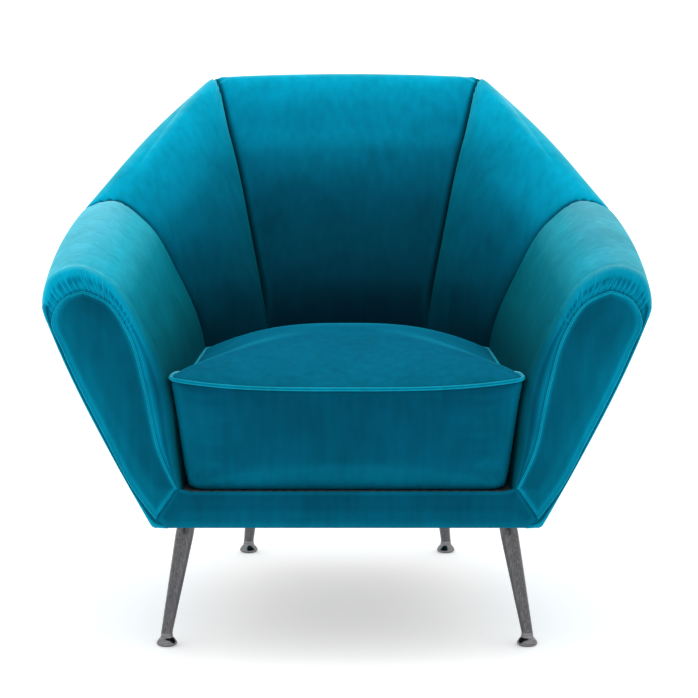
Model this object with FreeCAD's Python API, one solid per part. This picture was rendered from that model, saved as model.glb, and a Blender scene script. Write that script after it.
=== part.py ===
import FreeCAD, Part
import os
from itertools import combinations

# Low lounge armchair: a hexagonal padded shell of five channels on a timber frame,
# a loose boxed seat cushion, and four splayed tapered steel legs on turned feet.
# Millimetres. +Z is up, the sitter faces -Y, and the sitter's left hand is at +X.
# The origin is on the floor under the middle of the chair's box.

# ---- overall sizes -------------------------------------------------------------
OVERALL_WIDTH = 878.0          # across the arms at their widest line
OVERALL_DEPTH = 810.0
OVERALL_HEIGHT = 825.0
UNDERSIDE = 200.0              # floor to the bottom of the padded body
BASE_RAIL_HEIGHT = 53.0
SEAT_LINE = 412.0              # where the cushion's top edge meets arms and back

# ---- plan and profile of the shell -----------------------------------------------
SEAT_FRONT_WIDTH = 520.0
SEAT_REAR_WIDTH = 472.0
SEAT_SIDE_LENGTH = 515.0       # front of the arms to the arm seam, at the seat
SEAT_CENTRE_DEPTH = 573.0      # front of the arms to the back, at the seat
CENTRE_BACK_WIDTH = 262.0      # between the back seams, at the seat
BACK_TOP_WIDTH = 492.0         # across the back's top corners
ARM_SEAM_WIDTH = 868.0         # across the arm seams' outer ends
ARM_SEAM_SETBACK = 440.0       # front of the arms to the arm seam's outer end
ARM_FRONT_HEIGHT = 578.0
ARM_REAR_HEIGHT = 637.0
BACK_CORNER_DROP = 7.0         # the top corners lie this much under the middle
RIDGE_DROP_FRONT = 53.0        # crest down to the widest line, at the arm front
RIDGE_DROP_REAR = 77.0
RIDGE_DROP_BACK = 32.0
CREST_INSET_FRONT = 47.0       # widest line in to the crest
CREST_INSET_REAR = 62.0
CREST_INSET_BACK = 30.0
FOOT_DEPTH_FRONT = 24.0        # seat line out to the body's bottom edge
FOOT_DEPTH_REAR = 31.0
FOOT_DEPTH_BACK = 115.0
TUCK_FRONT = 20.0              # how far the inner faces lean in below the seat line
TUCK_REAR = 12.0
TUCK_BACK = 6.0
FULLNESS_ARM = 0.28            # roundness of the padding from seat line to crest
FULLNESS_SEAM = 0.22
FULLNESS_BACK = 0.14
LOW_BREAK = 0.27               # where the inner face bends, as shares of the way to the crest
HIGH_BREAK = 0.64
SHOULDER_INSET = 12.0          # outer shoulder of the roll: in from the ridge
SHOULDER_DROP = 16.0           # and down from the crest

# ---- build-up of the walls -------------------------------------------------------
COVER_T = 2.5                  # velvet and its lining
PANEL_T = 5.0                  # outside panel: fabric over board
FRAME_T = 30.0                 # timber behind the outside panel
BOARD_T = 3.0                  # board or webbing that backs the foam
RAIL_TOP_DROP = 22.0           # ridge down to the top of the top rails
TOP_RAIL_WIDTH = 55.0
POST_WIDTH = 60.0
FACING_T = 10.0                # padded facing on the arm front
DUST_COVER_T = 1.5
DECK_CLOTH_T = 1.5
FRONT_RAIL_T = 30.0
CORNER_BLOCK_SIZE = 84.0
CORNER_BLOCK_T = 25.0

FACING_POINTS = (              # facing's edge: in from the ridge, down from the crest
    (18.0, 65.0),
    (34.0, 45.0),
    (60.0, 34.0),
    (92.0, 48.0),
    (122.0, 95.0),
    (158.0, 240.0),
)
MITRE_LAP = 6.0                # top of the mitre: past the seat's side, above the rail
MITRE_LIFT = 8.0
MITRE_INSET = 8.0              # bottom of the mitre: in from the base corner, and up
MITRE_RISE = 13.0
RAIL_COVER_INSET = 14.0

# ---- seat cushion ----------------------------------------------------------------
CUSHION_GAP = 3.0              # to the arms and wings
CUSHION_REST_GAP = 0.3         # above the deck
CUSHION_CROWN = 22.0           # middle of the top above its edge
CUSHION_EDGE_DROP = 5.0        # top edge below the seat line
CROWN_INSET = 110.0
ZIP_ROOM = 8.0                 # between the rear boxing and the back
ZIP_LENGTH = 236.0
ZIP_WIDTH = 26.0
ZIP_T = 1.2
SLIDER_GAP = 0.2
SLIDER_SIZE = (9.0, 2.4, 11.0)
PULL_SIZE = (5.0, 1.2, 20.0)
SLIDER_TRAVEL = 210.0

# ---- springs and webbing ---------------------------------------------------------
SPRING_COUNT = 5
SPRING_SIDE_ROOM = 17.0        # outermost spring to the narrowest side rail
SPRING_WIRE = 3.8
SPRING_BEND = 10.0             # radius of each bend, to the wire's middle
SPRING_RUN = 24.0              # straight between two bends
SPRING_LEAD = 14.0             # shortest straight end
SPRING_DEPTH = 14.0            # below the top of the base rails
CLIP_SIZE = (18.0, 6.0, 14.0)
STRAP_COUNT = 4
STRAP_WIDTH = 50.0
STRAP_GAP = 22.0

# ---- legs and feet ---------------------------------------------------------------
FRONT_LEG_INSET = (46.0, 136.0)    # leg top in from the base's front corner
REAR_LEG_INSET = (31.0, 40.0)      # and from its rear corner
FRONT_SPLAY = (32.0, -42.0)        # foot out from the leg top
REAR_SPLAY = (20.0, 68.0)
LEG_TOP_R = 12.2
LEG_WIDE_R = 13.6
LEG_END_R = 7.5
LEG_WIDE_AT = 0.2              # share of the leg's length from the top
PLATE_R = 33.0
PLATE_T = 3.0
SCREW_CIRCLE_R = 24.0
SCREW_SHANK_R = 2.0
SCREW_HEAD_R = 4.0
SCREW_HEAD_H = 2.4
SCREW_LENGTH = 22.0
SCREWS_PER_LEG = 3
FOOT_HEIGHT = 20.0
FOOT_NECK_R = 8.6
FOOT_WAIST_R = 9.6
FOOT_R = 15.5
FOOT_BASE_R = 13.8
FOOT_EDGE_BULGE = 1.0          # how far the foot's edge and flank arcs swell
FOOT_FLANK_BULGE = (2.6, 1.2)
FOOT_BULGE_AT = 0.22           # heights as shares of the metal foot's height
FOOT_WAIST_AT = 0.62
PAD_R = 12.0
PAD_T = 3.0
PAD_RECESS = 2.0

# ---- worked out from the sizes above ---------------------------------------------
V = FreeCAD.Vector
FRONT = -OVERALL_DEPTH / 2
REAR = OVERALL_DEPTH / 2
ARM_FRONT = FRONT + FACING_T
BASE_TOP = UNDERSIDE + BASE_RAIL_HEIGHT
RAIL_BOTTOM = UNDERSIDE + DUST_COVER_T
RAIL_TOP = BASE_TOP - DECK_CLOTH_T
REACH = 4 * max(OVERALL_WIDTH, OVERALL_DEPTH, OVERALL_HEIGHT)
EPS = 1e-6

os.makedirs("parts", exist_ok=True)


def save(name, shape):
    """Write one named piece as its own STEP file."""
    shape.exportStep("parts/" + name + ".step")


def mirrored(shape):
    """The same piece on the other side of the chair."""
    return shape.mirror(V(0, 0, 0), V(1, 0, 0))


def save_pair(name, left):
    """Write a piece for the sitter's left (+X) and its mirror for the right."""
    save("left_" + name, left)
    save("right_" + name, mirrored(left))


def box(low, high):
    """Box between two corners."""
    return Part.makeBox(high[0] - low[0], high[1] - low[1], high[2] - low[2], V(*low))


def half_space(point, normal):
    """A very large block whose one face passes through point, on the normal's side."""
    block = Part.makeBox(2 * REACH, 2 * REACH, REACH, V(-REACH, -REACH, 0))
    turn = FreeCAD.Rotation(V(0, 0, 1), normal)
    block.Placement = FreeCAD.Placement(point, turn)
    return block


def cut_by_planes(planes, inset=0.0):
    """Solid inside all the planes, each moved inwards by inset."""
    solid = Part.makeBox(REACH, REACH, REACH, V(-REACH / 2, -REACH / 2, -REACH / 2))
    for point, normal in planes:
        solid = solid.cut(half_space(point - normal * inset, normal))
    return solid.Solids[0]


def hull_planes(points):
    """Outward planes of the tightest flat-sided body round the points."""
    planes = []
    for a, b, c in combinations(points, 3):
        normal = (b - a).cross(c - a)
        if normal.Length < EPS:
            continue
        normal.normalize()
        sides = [normal.dot(p - a) for p in points]
        if max(sides) > 1e-3:
            if min(sides) < -1e-3:
                continue
            normal = -normal
        known = any(normal.dot(n) > 1 - 1e-9 and abs(n.dot(a - p)) < 1e-2 for p, n in planes)
        if not known:
            planes.append((a, normal))
    return planes


def hull(points, inset=0.0):
    """Flat-sided solid round the points, shrunk by inset on every side."""
    return cut_by_planes(hull_planes(points), inset)


def prism(outline, low, high):
    """Flat outline of (x, z) points made solid from y = low to y = high."""
    wire = Part.makePolygon([V(x, low, z) for x, z in outline + outline[:1]])
    return Part.Face(wire).extrude(V(0, high - low, 0))


class Section:
    """Upright slice through the shell along one seam, from inner face to ridge."""

    def __init__(self, inner, ridge, ridge_z, crest_z, crest_inset, foot, tuck, fullness):
        self.inner = V(inner[0], inner[1], 0)
        out = V(ridge[0], ridge[1], 0) - self.inner
        self.ridge_u = out.Length
        self.way = out / out.Length
        self.ridge_z = ridge_z
        self.crest_z = crest_z
        self.crest_u = self.ridge_u - crest_inset
        self.foot_u = foot
        self.tuck = tuck
        self.fullness = fullness

    def at(self, u, z):
        """Point at depth u from the inner face and height z."""
        return self.inner + self.way * u + V(0, 0, z)

    def outer_u(self, z):
        """Depth of the outside face at height z."""
        rise = (z - UNDERSIDE) / (self.ridge_z - UNDERSIDE)
        return self.foot_u + (self.ridge_u - self.foot_u) * rise

    def rise_to_crest(self, share):
        """Point of the padded inner face, a share of the way to the crest."""
        lift = share + 4 * self.fullness * share * (1 - share)
        height = SEAT_LINE + lift * (self.crest_z - SEAT_LINE)
        return self.at(share * self.crest_u, height)

    def padding(self):
        """Outline of the padded part, above the base rails."""
        return [
            self.at(-self.tuck, BASE_TOP),
            self.at(0, SEAT_LINE),
            self.rise_to_crest(LOW_BREAK),
            self.rise_to_crest(HIGH_BREAK),
            self.at(self.crest_u, self.crest_z),
            self.at(self.ridge_u - SHOULDER_INSET, self.crest_z - SHOULDER_DROP),
            self.at(self.ridge_u, self.ridge_z),
            self.at(self.outer_u(BASE_TOP), BASE_TOP),
        ]

    def layer(self, near, far, low, high):
        """Four corners of a layer between two depths behind the outside face."""
        return [self.at(self.outer_u(z) - d, z) for z in (low, high) for d in (near, far)]

    def rail(self):
        """Outline of the base rail at this slice."""
        inner = [self.at(-self.tuck, z) for z in (RAIL_BOTTOM, RAIL_TOP)]
        outer = [self.at(self.outer_u(z) - PANEL_T, z) for z in (RAIL_BOTTOM, RAIL_TOP)]
        return inner + outer

    def flipped(self):
        """The same slice on the other side of the chair."""
        ridge = self.inner + self.way * self.ridge_u
        inset = self.ridge_u - self.crest_u
        return Section((-self.inner.x, self.inner.y), (-ridge.x, ridge.y), self.ridge_z,
                       self.crest_z, inset, self.foot_u, self.tuck, self.fullness)

    def plane_beyond(self, distance):
        """Point and sideways normal of an upright plane parallel to the slice."""
        side = V(-self.way.y, self.way.x, 0)
        return self.inner + side * distance, side


# ---- the three seams on the sitter's left ------------------------------------------
front_section = Section(
    (SEAT_FRONT_WIDTH / 2, ARM_FRONT),
    (OVERALL_WIDTH / 2, ARM_FRONT),
    ARM_FRONT_HEIGHT - RIDGE_DROP_FRONT,
    ARM_FRONT_HEIGHT,
    CREST_INSET_FRONT,
    FOOT_DEPTH_FRONT,
    TUCK_FRONT,
    FULLNESS_ARM,
)
arm_section = Section(
    (SEAT_REAR_WIDTH / 2, ARM_FRONT + SEAT_SIDE_LENGTH),
    (ARM_SEAM_WIDTH / 2, ARM_FRONT + ARM_SEAM_SETBACK),
    ARM_REAR_HEIGHT - RIDGE_DROP_REAR,
    ARM_REAR_HEIGHT,
    CREST_INSET_REAR,
    FOOT_DEPTH_REAR,
    TUCK_REAR,
    FULLNESS_SEAM,
)
back_section = Section(
    (CENTRE_BACK_WIDTH / 2, ARM_FRONT + SEAT_CENTRE_DEPTH),
    (BACK_TOP_WIDTH / 2, REAR),
    OVERALL_HEIGHT - BACK_CORNER_DROP - RIDGE_DROP_BACK,
    OVERALL_HEIGHT - BACK_CORNER_DROP,
    CREST_INSET_BACK,
    FOOT_DEPTH_BACK,
    TUCK_BACK,
    FULLNESS_BACK,
)
mirror_section = back_section.flipped()
crest = back_section.at(back_section.crest_u, OVERALL_HEIGHT)
back_crown = [V(0, crest.y, OVERALL_HEIGHT)]


def between(first, second, outline):
    """Points of the same outline at two sections."""
    return outline(first) + outline(second)


def layer_solid(first, second, near, far, low, high_drop):
    """Wall layer from one section to the next, high_drop below the ridge."""
    points = []
    for section in (first, second):
        points += section.layer(near, far, low, section.ridge_z - high_drop)
    return hull(points)


def wall(first, second, extra=()):
    """All the layers of one channel: cover, foam, backing, timber zone and outside panel."""
    outline = between(first, second, Section.padding) + list(extra)
    whole = hull(outline)
    core = hull(outline, COVER_T)
    outside = layer_solid(first, second, 0, PANEL_T, UNDERSIDE, 0)
    timber = layer_solid(first, second, PANEL_T, PANEL_T + FRAME_T, RAIL_TOP, RAIL_TOP_DROP)
    backing = layer_solid(first, second, PANEL_T + FRAME_T, PANEL_T + FRAME_T + BOARD_T,
                          BASE_TOP, RAIL_TOP_DROP)
    timber = timber.cut(outside)
    backing = backing.cut(timber).cut(outside)
    inner_space = outside.fuse(timber).fuse(backing)
    return {
        "cover": whole.cut(core).cut(inner_space),
        "foam": core.cut(inner_space),
        "outside": outside,
        "timber": timber,
        "backing": backing,
    }


def largest(shape):
    """The one solid of a cut that counts."""
    return max(shape.Solids, key=lambda solid: solid.Volume)


def post_cutter(section, before, after):
    """Upright block along a section, from before it to after it, sideways."""
    start, side = section.plane_beyond(-before)
    end, _ = section.plane_beyond(after)
    near = half_space(start, -side)
    far = half_space(end, side)
    room = Part.makeBox(REACH, REACH, REACH, V(-REACH / 2, -REACH / 2, -REACH / 2))
    return room.cut(near).cut(far)


def top_band(first, second):
    """The space of the top rail, under the ridge between two sections."""
    far = PANEL_T + FRAME_T
    points = []
    for section in (first, second):
        high = section.ridge_z - RAIL_TOP_DROP
        points += section.layer(-FRAME_T, far + FRAME_T, high - TOP_RAIL_WIDTH, high + FRAME_T)
    return hull(points)


arm = wall(front_section, arm_section)
wing = wall(arm_section, back_section)
back = wall(back_section, mirror_section, back_crown)

# ---- padded covers and their foam ----------------------------------------------------
save_pair("arm_cover", largest(arm["cover"]))
save_pair("arm_foam", largest(arm["foam"]))
save_pair("wing_cover", largest(wing["cover"]))
save_pair("wing_foam", largest(wing["foam"]))
save("back_cover", largest(back["cover"]))
save("back_foam", largest(back["foam"]))

# ---- outside panels ---------------------------------------------------------------
save_pair("outside_arm_panel", largest(arm["outside"]))
save_pair("outside_wing_panel", largest(wing["outside"]))
save("outside_back_panel", largest(back["outside"]))

all_outside = [arm["outside"], mirrored(arm["outside"]), wing["outside"],
               mirrored(wing["outside"]), back["outside"]]

# ---- timber frame: posts at the sections, rails between them ---------------------------
front_post = post_cutter(front_section, 0, POST_WIDTH)
arm_post = post_cutter(arm_section, 0, POST_WIDTH)
back_post = post_cutter(back_section, POST_WIDTH, 0)
save_pair("arm_front_post", largest(arm["timber"].common(front_post)))
save_pair("wing_post", largest(wing["timber"].common(arm_post).cut(back_post)))
save_pair("back_post", largest(wing["timber"].common(back_post)))
arm_rail = arm["timber"].common(top_band(front_section, arm_section)).cut(front_post)
wing_rail = wing["timber"].common(top_band(arm_section, back_section))
wing_rail = wing_rail.cut(arm_post).cut(back_post)
back_rail = back["timber"].common(top_band(back_section, mirror_section))
save_pair("arm_top_rail", largest(arm_rail))
save_pair("wing_top_rail", largest(wing_rail))
save("back_top_rail", largest(back_rail))

# ---- boards behind the arm and wing foam, straps behind the back foam ------------------
save_pair("arm_board", largest(arm["backing"]))
save_pair("wing_board", largest(wing["backing"]))
strap_step = STRAP_WIDTH + STRAP_GAP
strap_span = STRAP_COUNT * strap_step - STRAP_GAP
straps = []
for number in range(STRAP_COUNT):
    left_edge = number * strap_step - strap_span / 2
    slot = box((left_edge, -REACH, 0), (left_edge + STRAP_WIDTH, REACH, REACH))
    straps.append(largest(back["backing"].common(slot)))
save("back_webbing", Part.makeCompound(straps))

# ---- base rails -------------------------------------------------------------------
front_rail_back = ARM_FRONT + FRONT_RAIL_T
rail_low = front_section.at(-TUCK_FRONT, RAIL_BOTTOM)
base_corner = front_section.at(FOOT_DEPTH_FRONT, 0)
side_rail = hull(between(front_section, arm_section, Section.rail)).cut(arm["outside"])
corner_rail = hull(between(arm_section, back_section, Section.rail)).cut(wing["outside"])
rear_rail = hull(between(back_section, mirror_section, Section.rail)).cut(back["outside"])
front_rail = box((-rail_low.x, ARM_FRONT, RAIL_BOTTOM), (rail_low.x, front_rail_back, RAIL_TOP))
side_rails = side_rail.fuse(mirrored(side_rail))
front_rail = front_rail.cut(side_rails)

# ---- legs, feet and their fixings ---------------------------------------------------


def leg_solids(centre, splay):
    """One splayed leg with its plate, turned foot, pad, screws and corner block."""
    foot_axis = centre + V(splay[0], splay[1], 0)
    plate_low = UNDERSIDE - PLATE_T
    head = centre + V(0, 0, plate_low)
    toe = foot_axis + V(0, 0, FOOT_HEIGHT)
    axis = head - toe
    overrun = axis / axis.Length * (2 * LEG_WIDE_R)
    wide = head - axis * LEG_WIDE_AT
    lower = tapered(toe - overrun, wide, LEG_END_R, LEG_WIDE_R)
    upper = tapered(wide, head + overrun, LEG_WIDE_R, LEG_TOP_R)
    keep = box((-REACH, -REACH, FOOT_HEIGHT), (REACH, REACH, plate_low))
    leg = largest(lower.fuse(upper).common(keep))
    plate = Part.makeCylinder(PLATE_R, PLATE_T, centre + V(0, 0, plate_low))
    half = CORNER_BLOCK_SIZE / 2
    block = box((centre.x - half, centre.y - half, RAIL_BOTTOM),
                (centre.x + half, centre.y + half, RAIL_BOTTOM + CORNER_BLOCK_T))
    screws = []
    for number in range(SCREWS_PER_LEG):
        arm_out = FreeCAD.Rotation(V(0, 0, 1), number * 360 / SCREWS_PER_LEG)
        place = centre + arm_out.multVec(V(SCREW_CIRCLE_R, 0, 0)) + V(0, 0, plate_low)
        shank = Part.makeCylinder(SCREW_SHANK_R, SCREW_LENGTH, place)
        countersink = Part.makeCone(SCREW_HEAD_R, SCREW_SHANK_R, SCREW_HEAD_H, place)
        screws.append(largest(shank.fuse(countersink)))
    return {
        "leg": leg,
        "plate": plate,
        "block": block,
        "screws": screws,
        "foot": turned_foot(foot_axis),
        "pad": Part.makeCylinder(PAD_R, PAD_T, foot_axis),
    }


def tapered(start, end, start_r, end_r):
    """Round bar between two points whose radius changes evenly."""
    way = end - start
    return Part.makeCone(start_r, end_r, way.Length, start, way)


def turned_foot(axis):
    """Small bun foot: flared base, waist and neck, recessed below for its pad."""
    low = PAD_T - PAD_RECESS
    metal = FOOT_HEIGHT - low
    base = V(FOOT_BASE_R, 0, low)
    bulge = V(FOOT_R, 0, low + FOOT_BULGE_AT * metal)
    waist = V(FOOT_WAIST_R, 0, low + FOOT_WAIST_AT * metal)
    neck = V(FOOT_NECK_R, 0, FOOT_HEIGHT)
    edge = (base + bulge) / 2 + V(FOOT_EDGE_BULGE, 0, 0)
    flank_side, flank_up = FOOT_FLANK_BULGE
    flank = V(FOOT_WAIST_R + flank_side, 0, (bulge.z + waist.z) / 2 + flank_up)
    bottom = V(0, 0, low)
    top = V(0, 0, FOOT_HEIGHT)
    profile = [
        Part.LineSegment(bottom, base),
        Part.Arc(base, edge, bulge),
        Part.Arc(bulge, flank, waist),
        Part.LineSegment(waist, neck),
        Part.LineSegment(neck, top),
        Part.LineSegment(top, bottom),
    ]
    face = Part.Face(Part.Wire([curve.toShape() for curve in profile]))
    solid = face.revolve(V(0, 0, 0), V(0, 0, 1), 360)
    solid = solid.cut(Part.makeCylinder(PAD_R, PAD_RECESS, V(0, 0, low)))
    solid.translate(axis)
    return solid.Solids[0]


rear_corner = back_section.at(FOOT_DEPTH_BACK, 0)
front_leg = leg_solids(base_corner + V(-FRONT_LEG_INSET[0], FRONT_LEG_INSET[1], 0), FRONT_SPLAY)
rear_leg = leg_solids(rear_corner - V(REAR_LEG_INSET[0], REAR_LEG_INSET[1], 0), REAR_SPLAY)
all_screws = []
for leg_set in (front_leg, rear_leg):
    for screw in leg_set["screws"]:
        all_screws += [screw, mirrored(screw)]
screw_group = Part.makeCompound(all_screws)
for name, leg_set in (("front", front_leg), ("rear", rear_leg)):
    save_pair(name + "_leg", leg_set["leg"])
    save_pair(name + "_foot", leg_set["foot"])
pads = [front_leg["pad"], rear_leg["pad"]]
plates = [leg_set["plate"].cut(screw_group).Solids[0] for leg_set in (front_leg, rear_leg)]
save("foot_pads", Part.makeCompound(pads + [mirrored(pad) for pad in pads]))
save("leg_plates", Part.makeCompound(plates + [mirrored(plate) for plate in plates]))
save("leg_screws", screw_group)

all_rails = [front_rail, side_rail, mirrored(side_rail), corner_rail, mirrored(corner_rail),
             rear_rail]
# The rear rails are wide enough to take their legs' screws, so only the front legs have blocks.
blocks = []
for block in (front_leg["block"], mirrored(front_leg["block"])):
    for rail in all_rails:
        block = block.cut(rail)
    for panel in all_outside:
        block = block.cut(panel)
    blocks.append(largest(block.cut(screw_group)))
save("corner_blocks", Part.makeCompound(blocks))
save("front_rail", largest(front_rail.cut(screw_group)))
save_pair("side_rail", largest(side_rail.cut(screw_group)))
save_pair("rear_corner_rail", largest(corner_rail.cut(screw_group)))
save("rear_rail", largest(rear_rail.cut(screw_group)))

# ---- dust cover under the base, deck cloth over it -------------------------------------


def base_sheet(low, high):
    """Flat sheet over the base's whole outline between two heights."""
    points = []
    for section in (front_section, arm_section, back_section):
        for z in (low, high):
            point = section.at(section.outer_u(UNDERSIDE) - PANEL_T, z)
            points += [point, V(-point.x, point.y, z)]
    return hull(points)


def deck_sheet(low, high):
    """Flat sheet on the base rails, as wide as the padding above leaves dry."""
    points = []
    for section in (front_section, arm_section, back_section):
        for z in (low, high):
            point = section.at(section.outer_u(low) - PANEL_T - FRAME_T, z)
            points += [point, V(-point.x, point.y, z)]
    return hull(points)


dust_cover = base_sheet(UNDERSIDE, RAIL_BOTTOM).cut(screw_group)
for panel in all_outside:
    dust_cover = dust_cover.cut(panel)
save("dust_cover", largest(dust_cover))
save("deck_cloth", deck_sheet(RAIL_TOP, BASE_TOP))

# ---- zigzag seat springs and their clips -------------------------------------------------
spring_z = RAIL_TOP - SPRING_DEPTH
spring_half_width = 2 * SPRING_BEND + SPRING_RUN / 2
corner = arm_section.at(-TUCK_REAR, 0)
spring_span = min(corner.x, rail_low.x) - SPRING_SIDE_ROOM - spring_half_width
spring_pitch = 2 * spring_span / (SPRING_COUNT - 1)
spring_start = front_rail_back + CLIP_SIZE[1]
rear_face = back_section.at(-TUCK_BACK, 0)


def spring_rear(x):
    """Front of the rear clip at x: the clip lies on the rear or the corner rail."""
    outer_x = abs(x) + CLIP_SIZE[0] / 2
    share = max(0.0, (outer_x - rear_face.x) / (corner.x - rear_face.x))
    return rear_face.y + share * (corner.y - rear_face.y) - CLIP_SIZE[1]


def zigzag_spring(x):
    """One wire spring from the front clip to the rear clip."""
    spring_end = spring_rear(x)
    span = spring_end - spring_start
    bends = int((span - 2 * SPRING_LEAD - 2 * SPRING_BEND) / (2 * SPRING_BEND))
    bends -= bends % 2
    lead = (span - 2 * SPRING_BEND * (bends + 1)) / 2
    slant = SPRING_BEND * (1 - 0.5 ** 0.5)
    side = 1
    here = V(x, spring_start, spring_z)
    turn_in = here + V(0, lead, 0)
    edges = [Part.LineSegment(here, turn_in)]
    first_bend = turn_in + V(SPRING_BEND, SPRING_BEND, 0)
    edges.append(Part.Arc(turn_in, turn_in + V(slant, SPRING_BEND - slant, 0), first_bend))
    run_end = V(x + SPRING_BEND + SPRING_RUN / 2, first_bend.y, spring_z)
    edges.append(Part.LineSegment(first_bend, run_end))
    for number in range(bends):
        far = run_end + V(0, 2 * SPRING_BEND, 0)
        peak = run_end + V(side * SPRING_BEND, SPRING_BEND, 0)
        edges.append(Part.Arc(run_end, peak, far))
        side = -side
        last = number == bends - 1
        reach = x - side * SPRING_BEND if last else x + side * (SPRING_BEND + SPRING_RUN / 2)
        run_end = V(reach, far.y, spring_z)
        edges.append(Part.LineSegment(far, run_end))
    turn_out = V(x, run_end.y + SPRING_BEND, spring_z)
    middle = V(x - side * slant, run_end.y + slant, spring_z)
    edges.append(Part.Arc(run_end, middle, turn_out))
    edges.append(Part.LineSegment(turn_out, V(x, spring_end, spring_z)))
    path = Part.Wire([edge.toShape() for edge in edges])
    profile = Part.Wire(Part.makeCircle(SPRING_WIRE / 2, V(x, spring_start, spring_z), V(0, 1, 0)))
    return path.makePipeShell([profile], True, False)


springs = []
clips = []
for number in range(SPRING_COUNT):
    x = (number - (SPRING_COUNT - 1) / 2) * spring_pitch
    springs.append(zigzag_spring(x))
    half_clip = V(CLIP_SIZE[0] / 2, 0, CLIP_SIZE[2] / 2)
    front_low = V(x, front_rail_back, spring_z) - half_clip
    front_high = V(x, spring_start, spring_z) + half_clip
    rear_low = V(x, spring_rear(x), spring_z) - half_clip
    rear_high = V(x, rear_face.y, spring_z) + half_clip
    rear_clip = box(rear_low, rear_high)
    for rail in (corner_rail, mirrored(corner_rail)):
        rear_clip = rear_clip.cut(rail)
    clips += [box(front_low, front_high), largest(rear_clip)]
save("seat_springs", Part.makeCompound(springs))
save("spring_clips", Part.makeCompound(clips))

# ---- padded facings on the arm fronts and the cover of the front rail ----------------------
half_width = OVERALL_WIDTH / 2
mitre_top = (rail_low.x + MITRE_LAP, BASE_TOP + MITRE_LIFT)
mitre_low = (base_corner.x - MITRE_INSET, UNDERSIDE + MITRE_RISE)
facing = [
    mitre_low,
    *[(half_width - inset, ARM_FRONT_HEIGHT - drop) for inset, drop in FACING_POINTS],
    mitre_top,
]
save_pair("arm_facing", prism(facing, FRONT, ARM_FRONT))
half_rail = [(0, BASE_TOP), (rail_low.x, BASE_TOP), mitre_top, mitre_low,
             (base_corner.x - RAIL_COVER_INSET, UNDERSIDE), (0, UNDERSIDE)]
rail_cover = prism(half_rail, FRONT, ARM_FRONT)
save("front_rail_cover", rail_cover.fuse(mirrored(rail_cover)).removeSplitter().Solids[0])

# ---- loose seat cushion ----------------------------------------------------------------
cushion_low = BASE_TOP + CUSHION_REST_GAP
cushion_edge = SEAT_LINE - CUSHION_EDGE_DROP
cushion_rear = rear_face.y - ZIP_ROOM
cushion_points = []
for section in (front_section, arm_section):
    for u, z in ((-section.tuck, cushion_low), (0, cushion_edge)):
        point = section.at(u, z)
        cushion_points += [point, V(-point.x, point.y, z)]
for z in (cushion_low, cushion_edge):
    cushion_points += [V(rear_face.x, cushion_rear, z), V(-rear_face.x, cushion_rear, z)]
crown_x = SEAT_REAR_WIDTH / 2 - CROWN_INSET
crown_z = cushion_edge + CUSHION_CROWN
for y in (ARM_FRONT + CROWN_INSET, cushion_rear - CROWN_INSET):
    cushion_points += [V(crown_x, y, crown_z), V(-crown_x, y, crown_z)]
arm_outline = between(front_section, arm_section, Section.padding)
wing_outline = between(arm_section, back_section, Section.padding)


def cushion_solid(inset):
    """The cushion, shrunk by inset and kept clear of arms and wings."""
    solid = hull(cushion_points, inset)
    for outline in (arm_outline, wing_outline):
        grown = hull(outline, -(CUSHION_GAP + inset))
        solid = solid.cut(grown).cut(mirrored(grown))
    return largest(solid)


cushion_core = cushion_solid(COVER_T)
save("seat_cushion_cover", largest(cushion_solid(0).cut(cushion_core)))
save("seat_cushion_foam", cushion_core)

# ---- zip on the cushion's rear boxing, and its slider -----------------------------------
zip_z = (cushion_low + cushion_edge) / 2
zip_back = cushion_rear + ZIP_T
save("cushion_zip", box((-ZIP_LENGTH / 2, cushion_rear, zip_z - ZIP_WIDTH / 2),
                        (ZIP_LENGTH / 2, zip_back, zip_z + ZIP_WIDTH / 2)))
slider_x = -SLIDER_TRAVEL / 2
slider_y = zip_back + SLIDER_GAP
slider = box((slider_x - SLIDER_SIZE[0] / 2, slider_y, zip_z - SLIDER_SIZE[2] / 2),
             (slider_x + SLIDER_SIZE[0] / 2, slider_y + SLIDER_SIZE[1], zip_z + SLIDER_SIZE[2] / 2))
pull_top = zip_z + SLIDER_SIZE[2] / 4
pull_y = slider_y + SLIDER_SIZE[1]
pull = box((slider_x - PULL_SIZE[0] / 2, pull_y, pull_top - PULL_SIZE[2]),
           (slider_x + PULL_SIZE[0] / 2, pull_y + PULL_SIZE[1], pull_top))
save("zip_slider", slider.fuse(pull).Solids[0])
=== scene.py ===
# %% [markdown]
# # A five-channel lounge armchair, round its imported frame
# The chair is a padded shell of five channels on a timber frame, a loose boxed
# seat cushion, and four splayed steel legs. The CAD model fixes every size and
# place. This script only gives it its looks: soft covers, seams, metal and light.

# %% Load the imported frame
import math
import random

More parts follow.
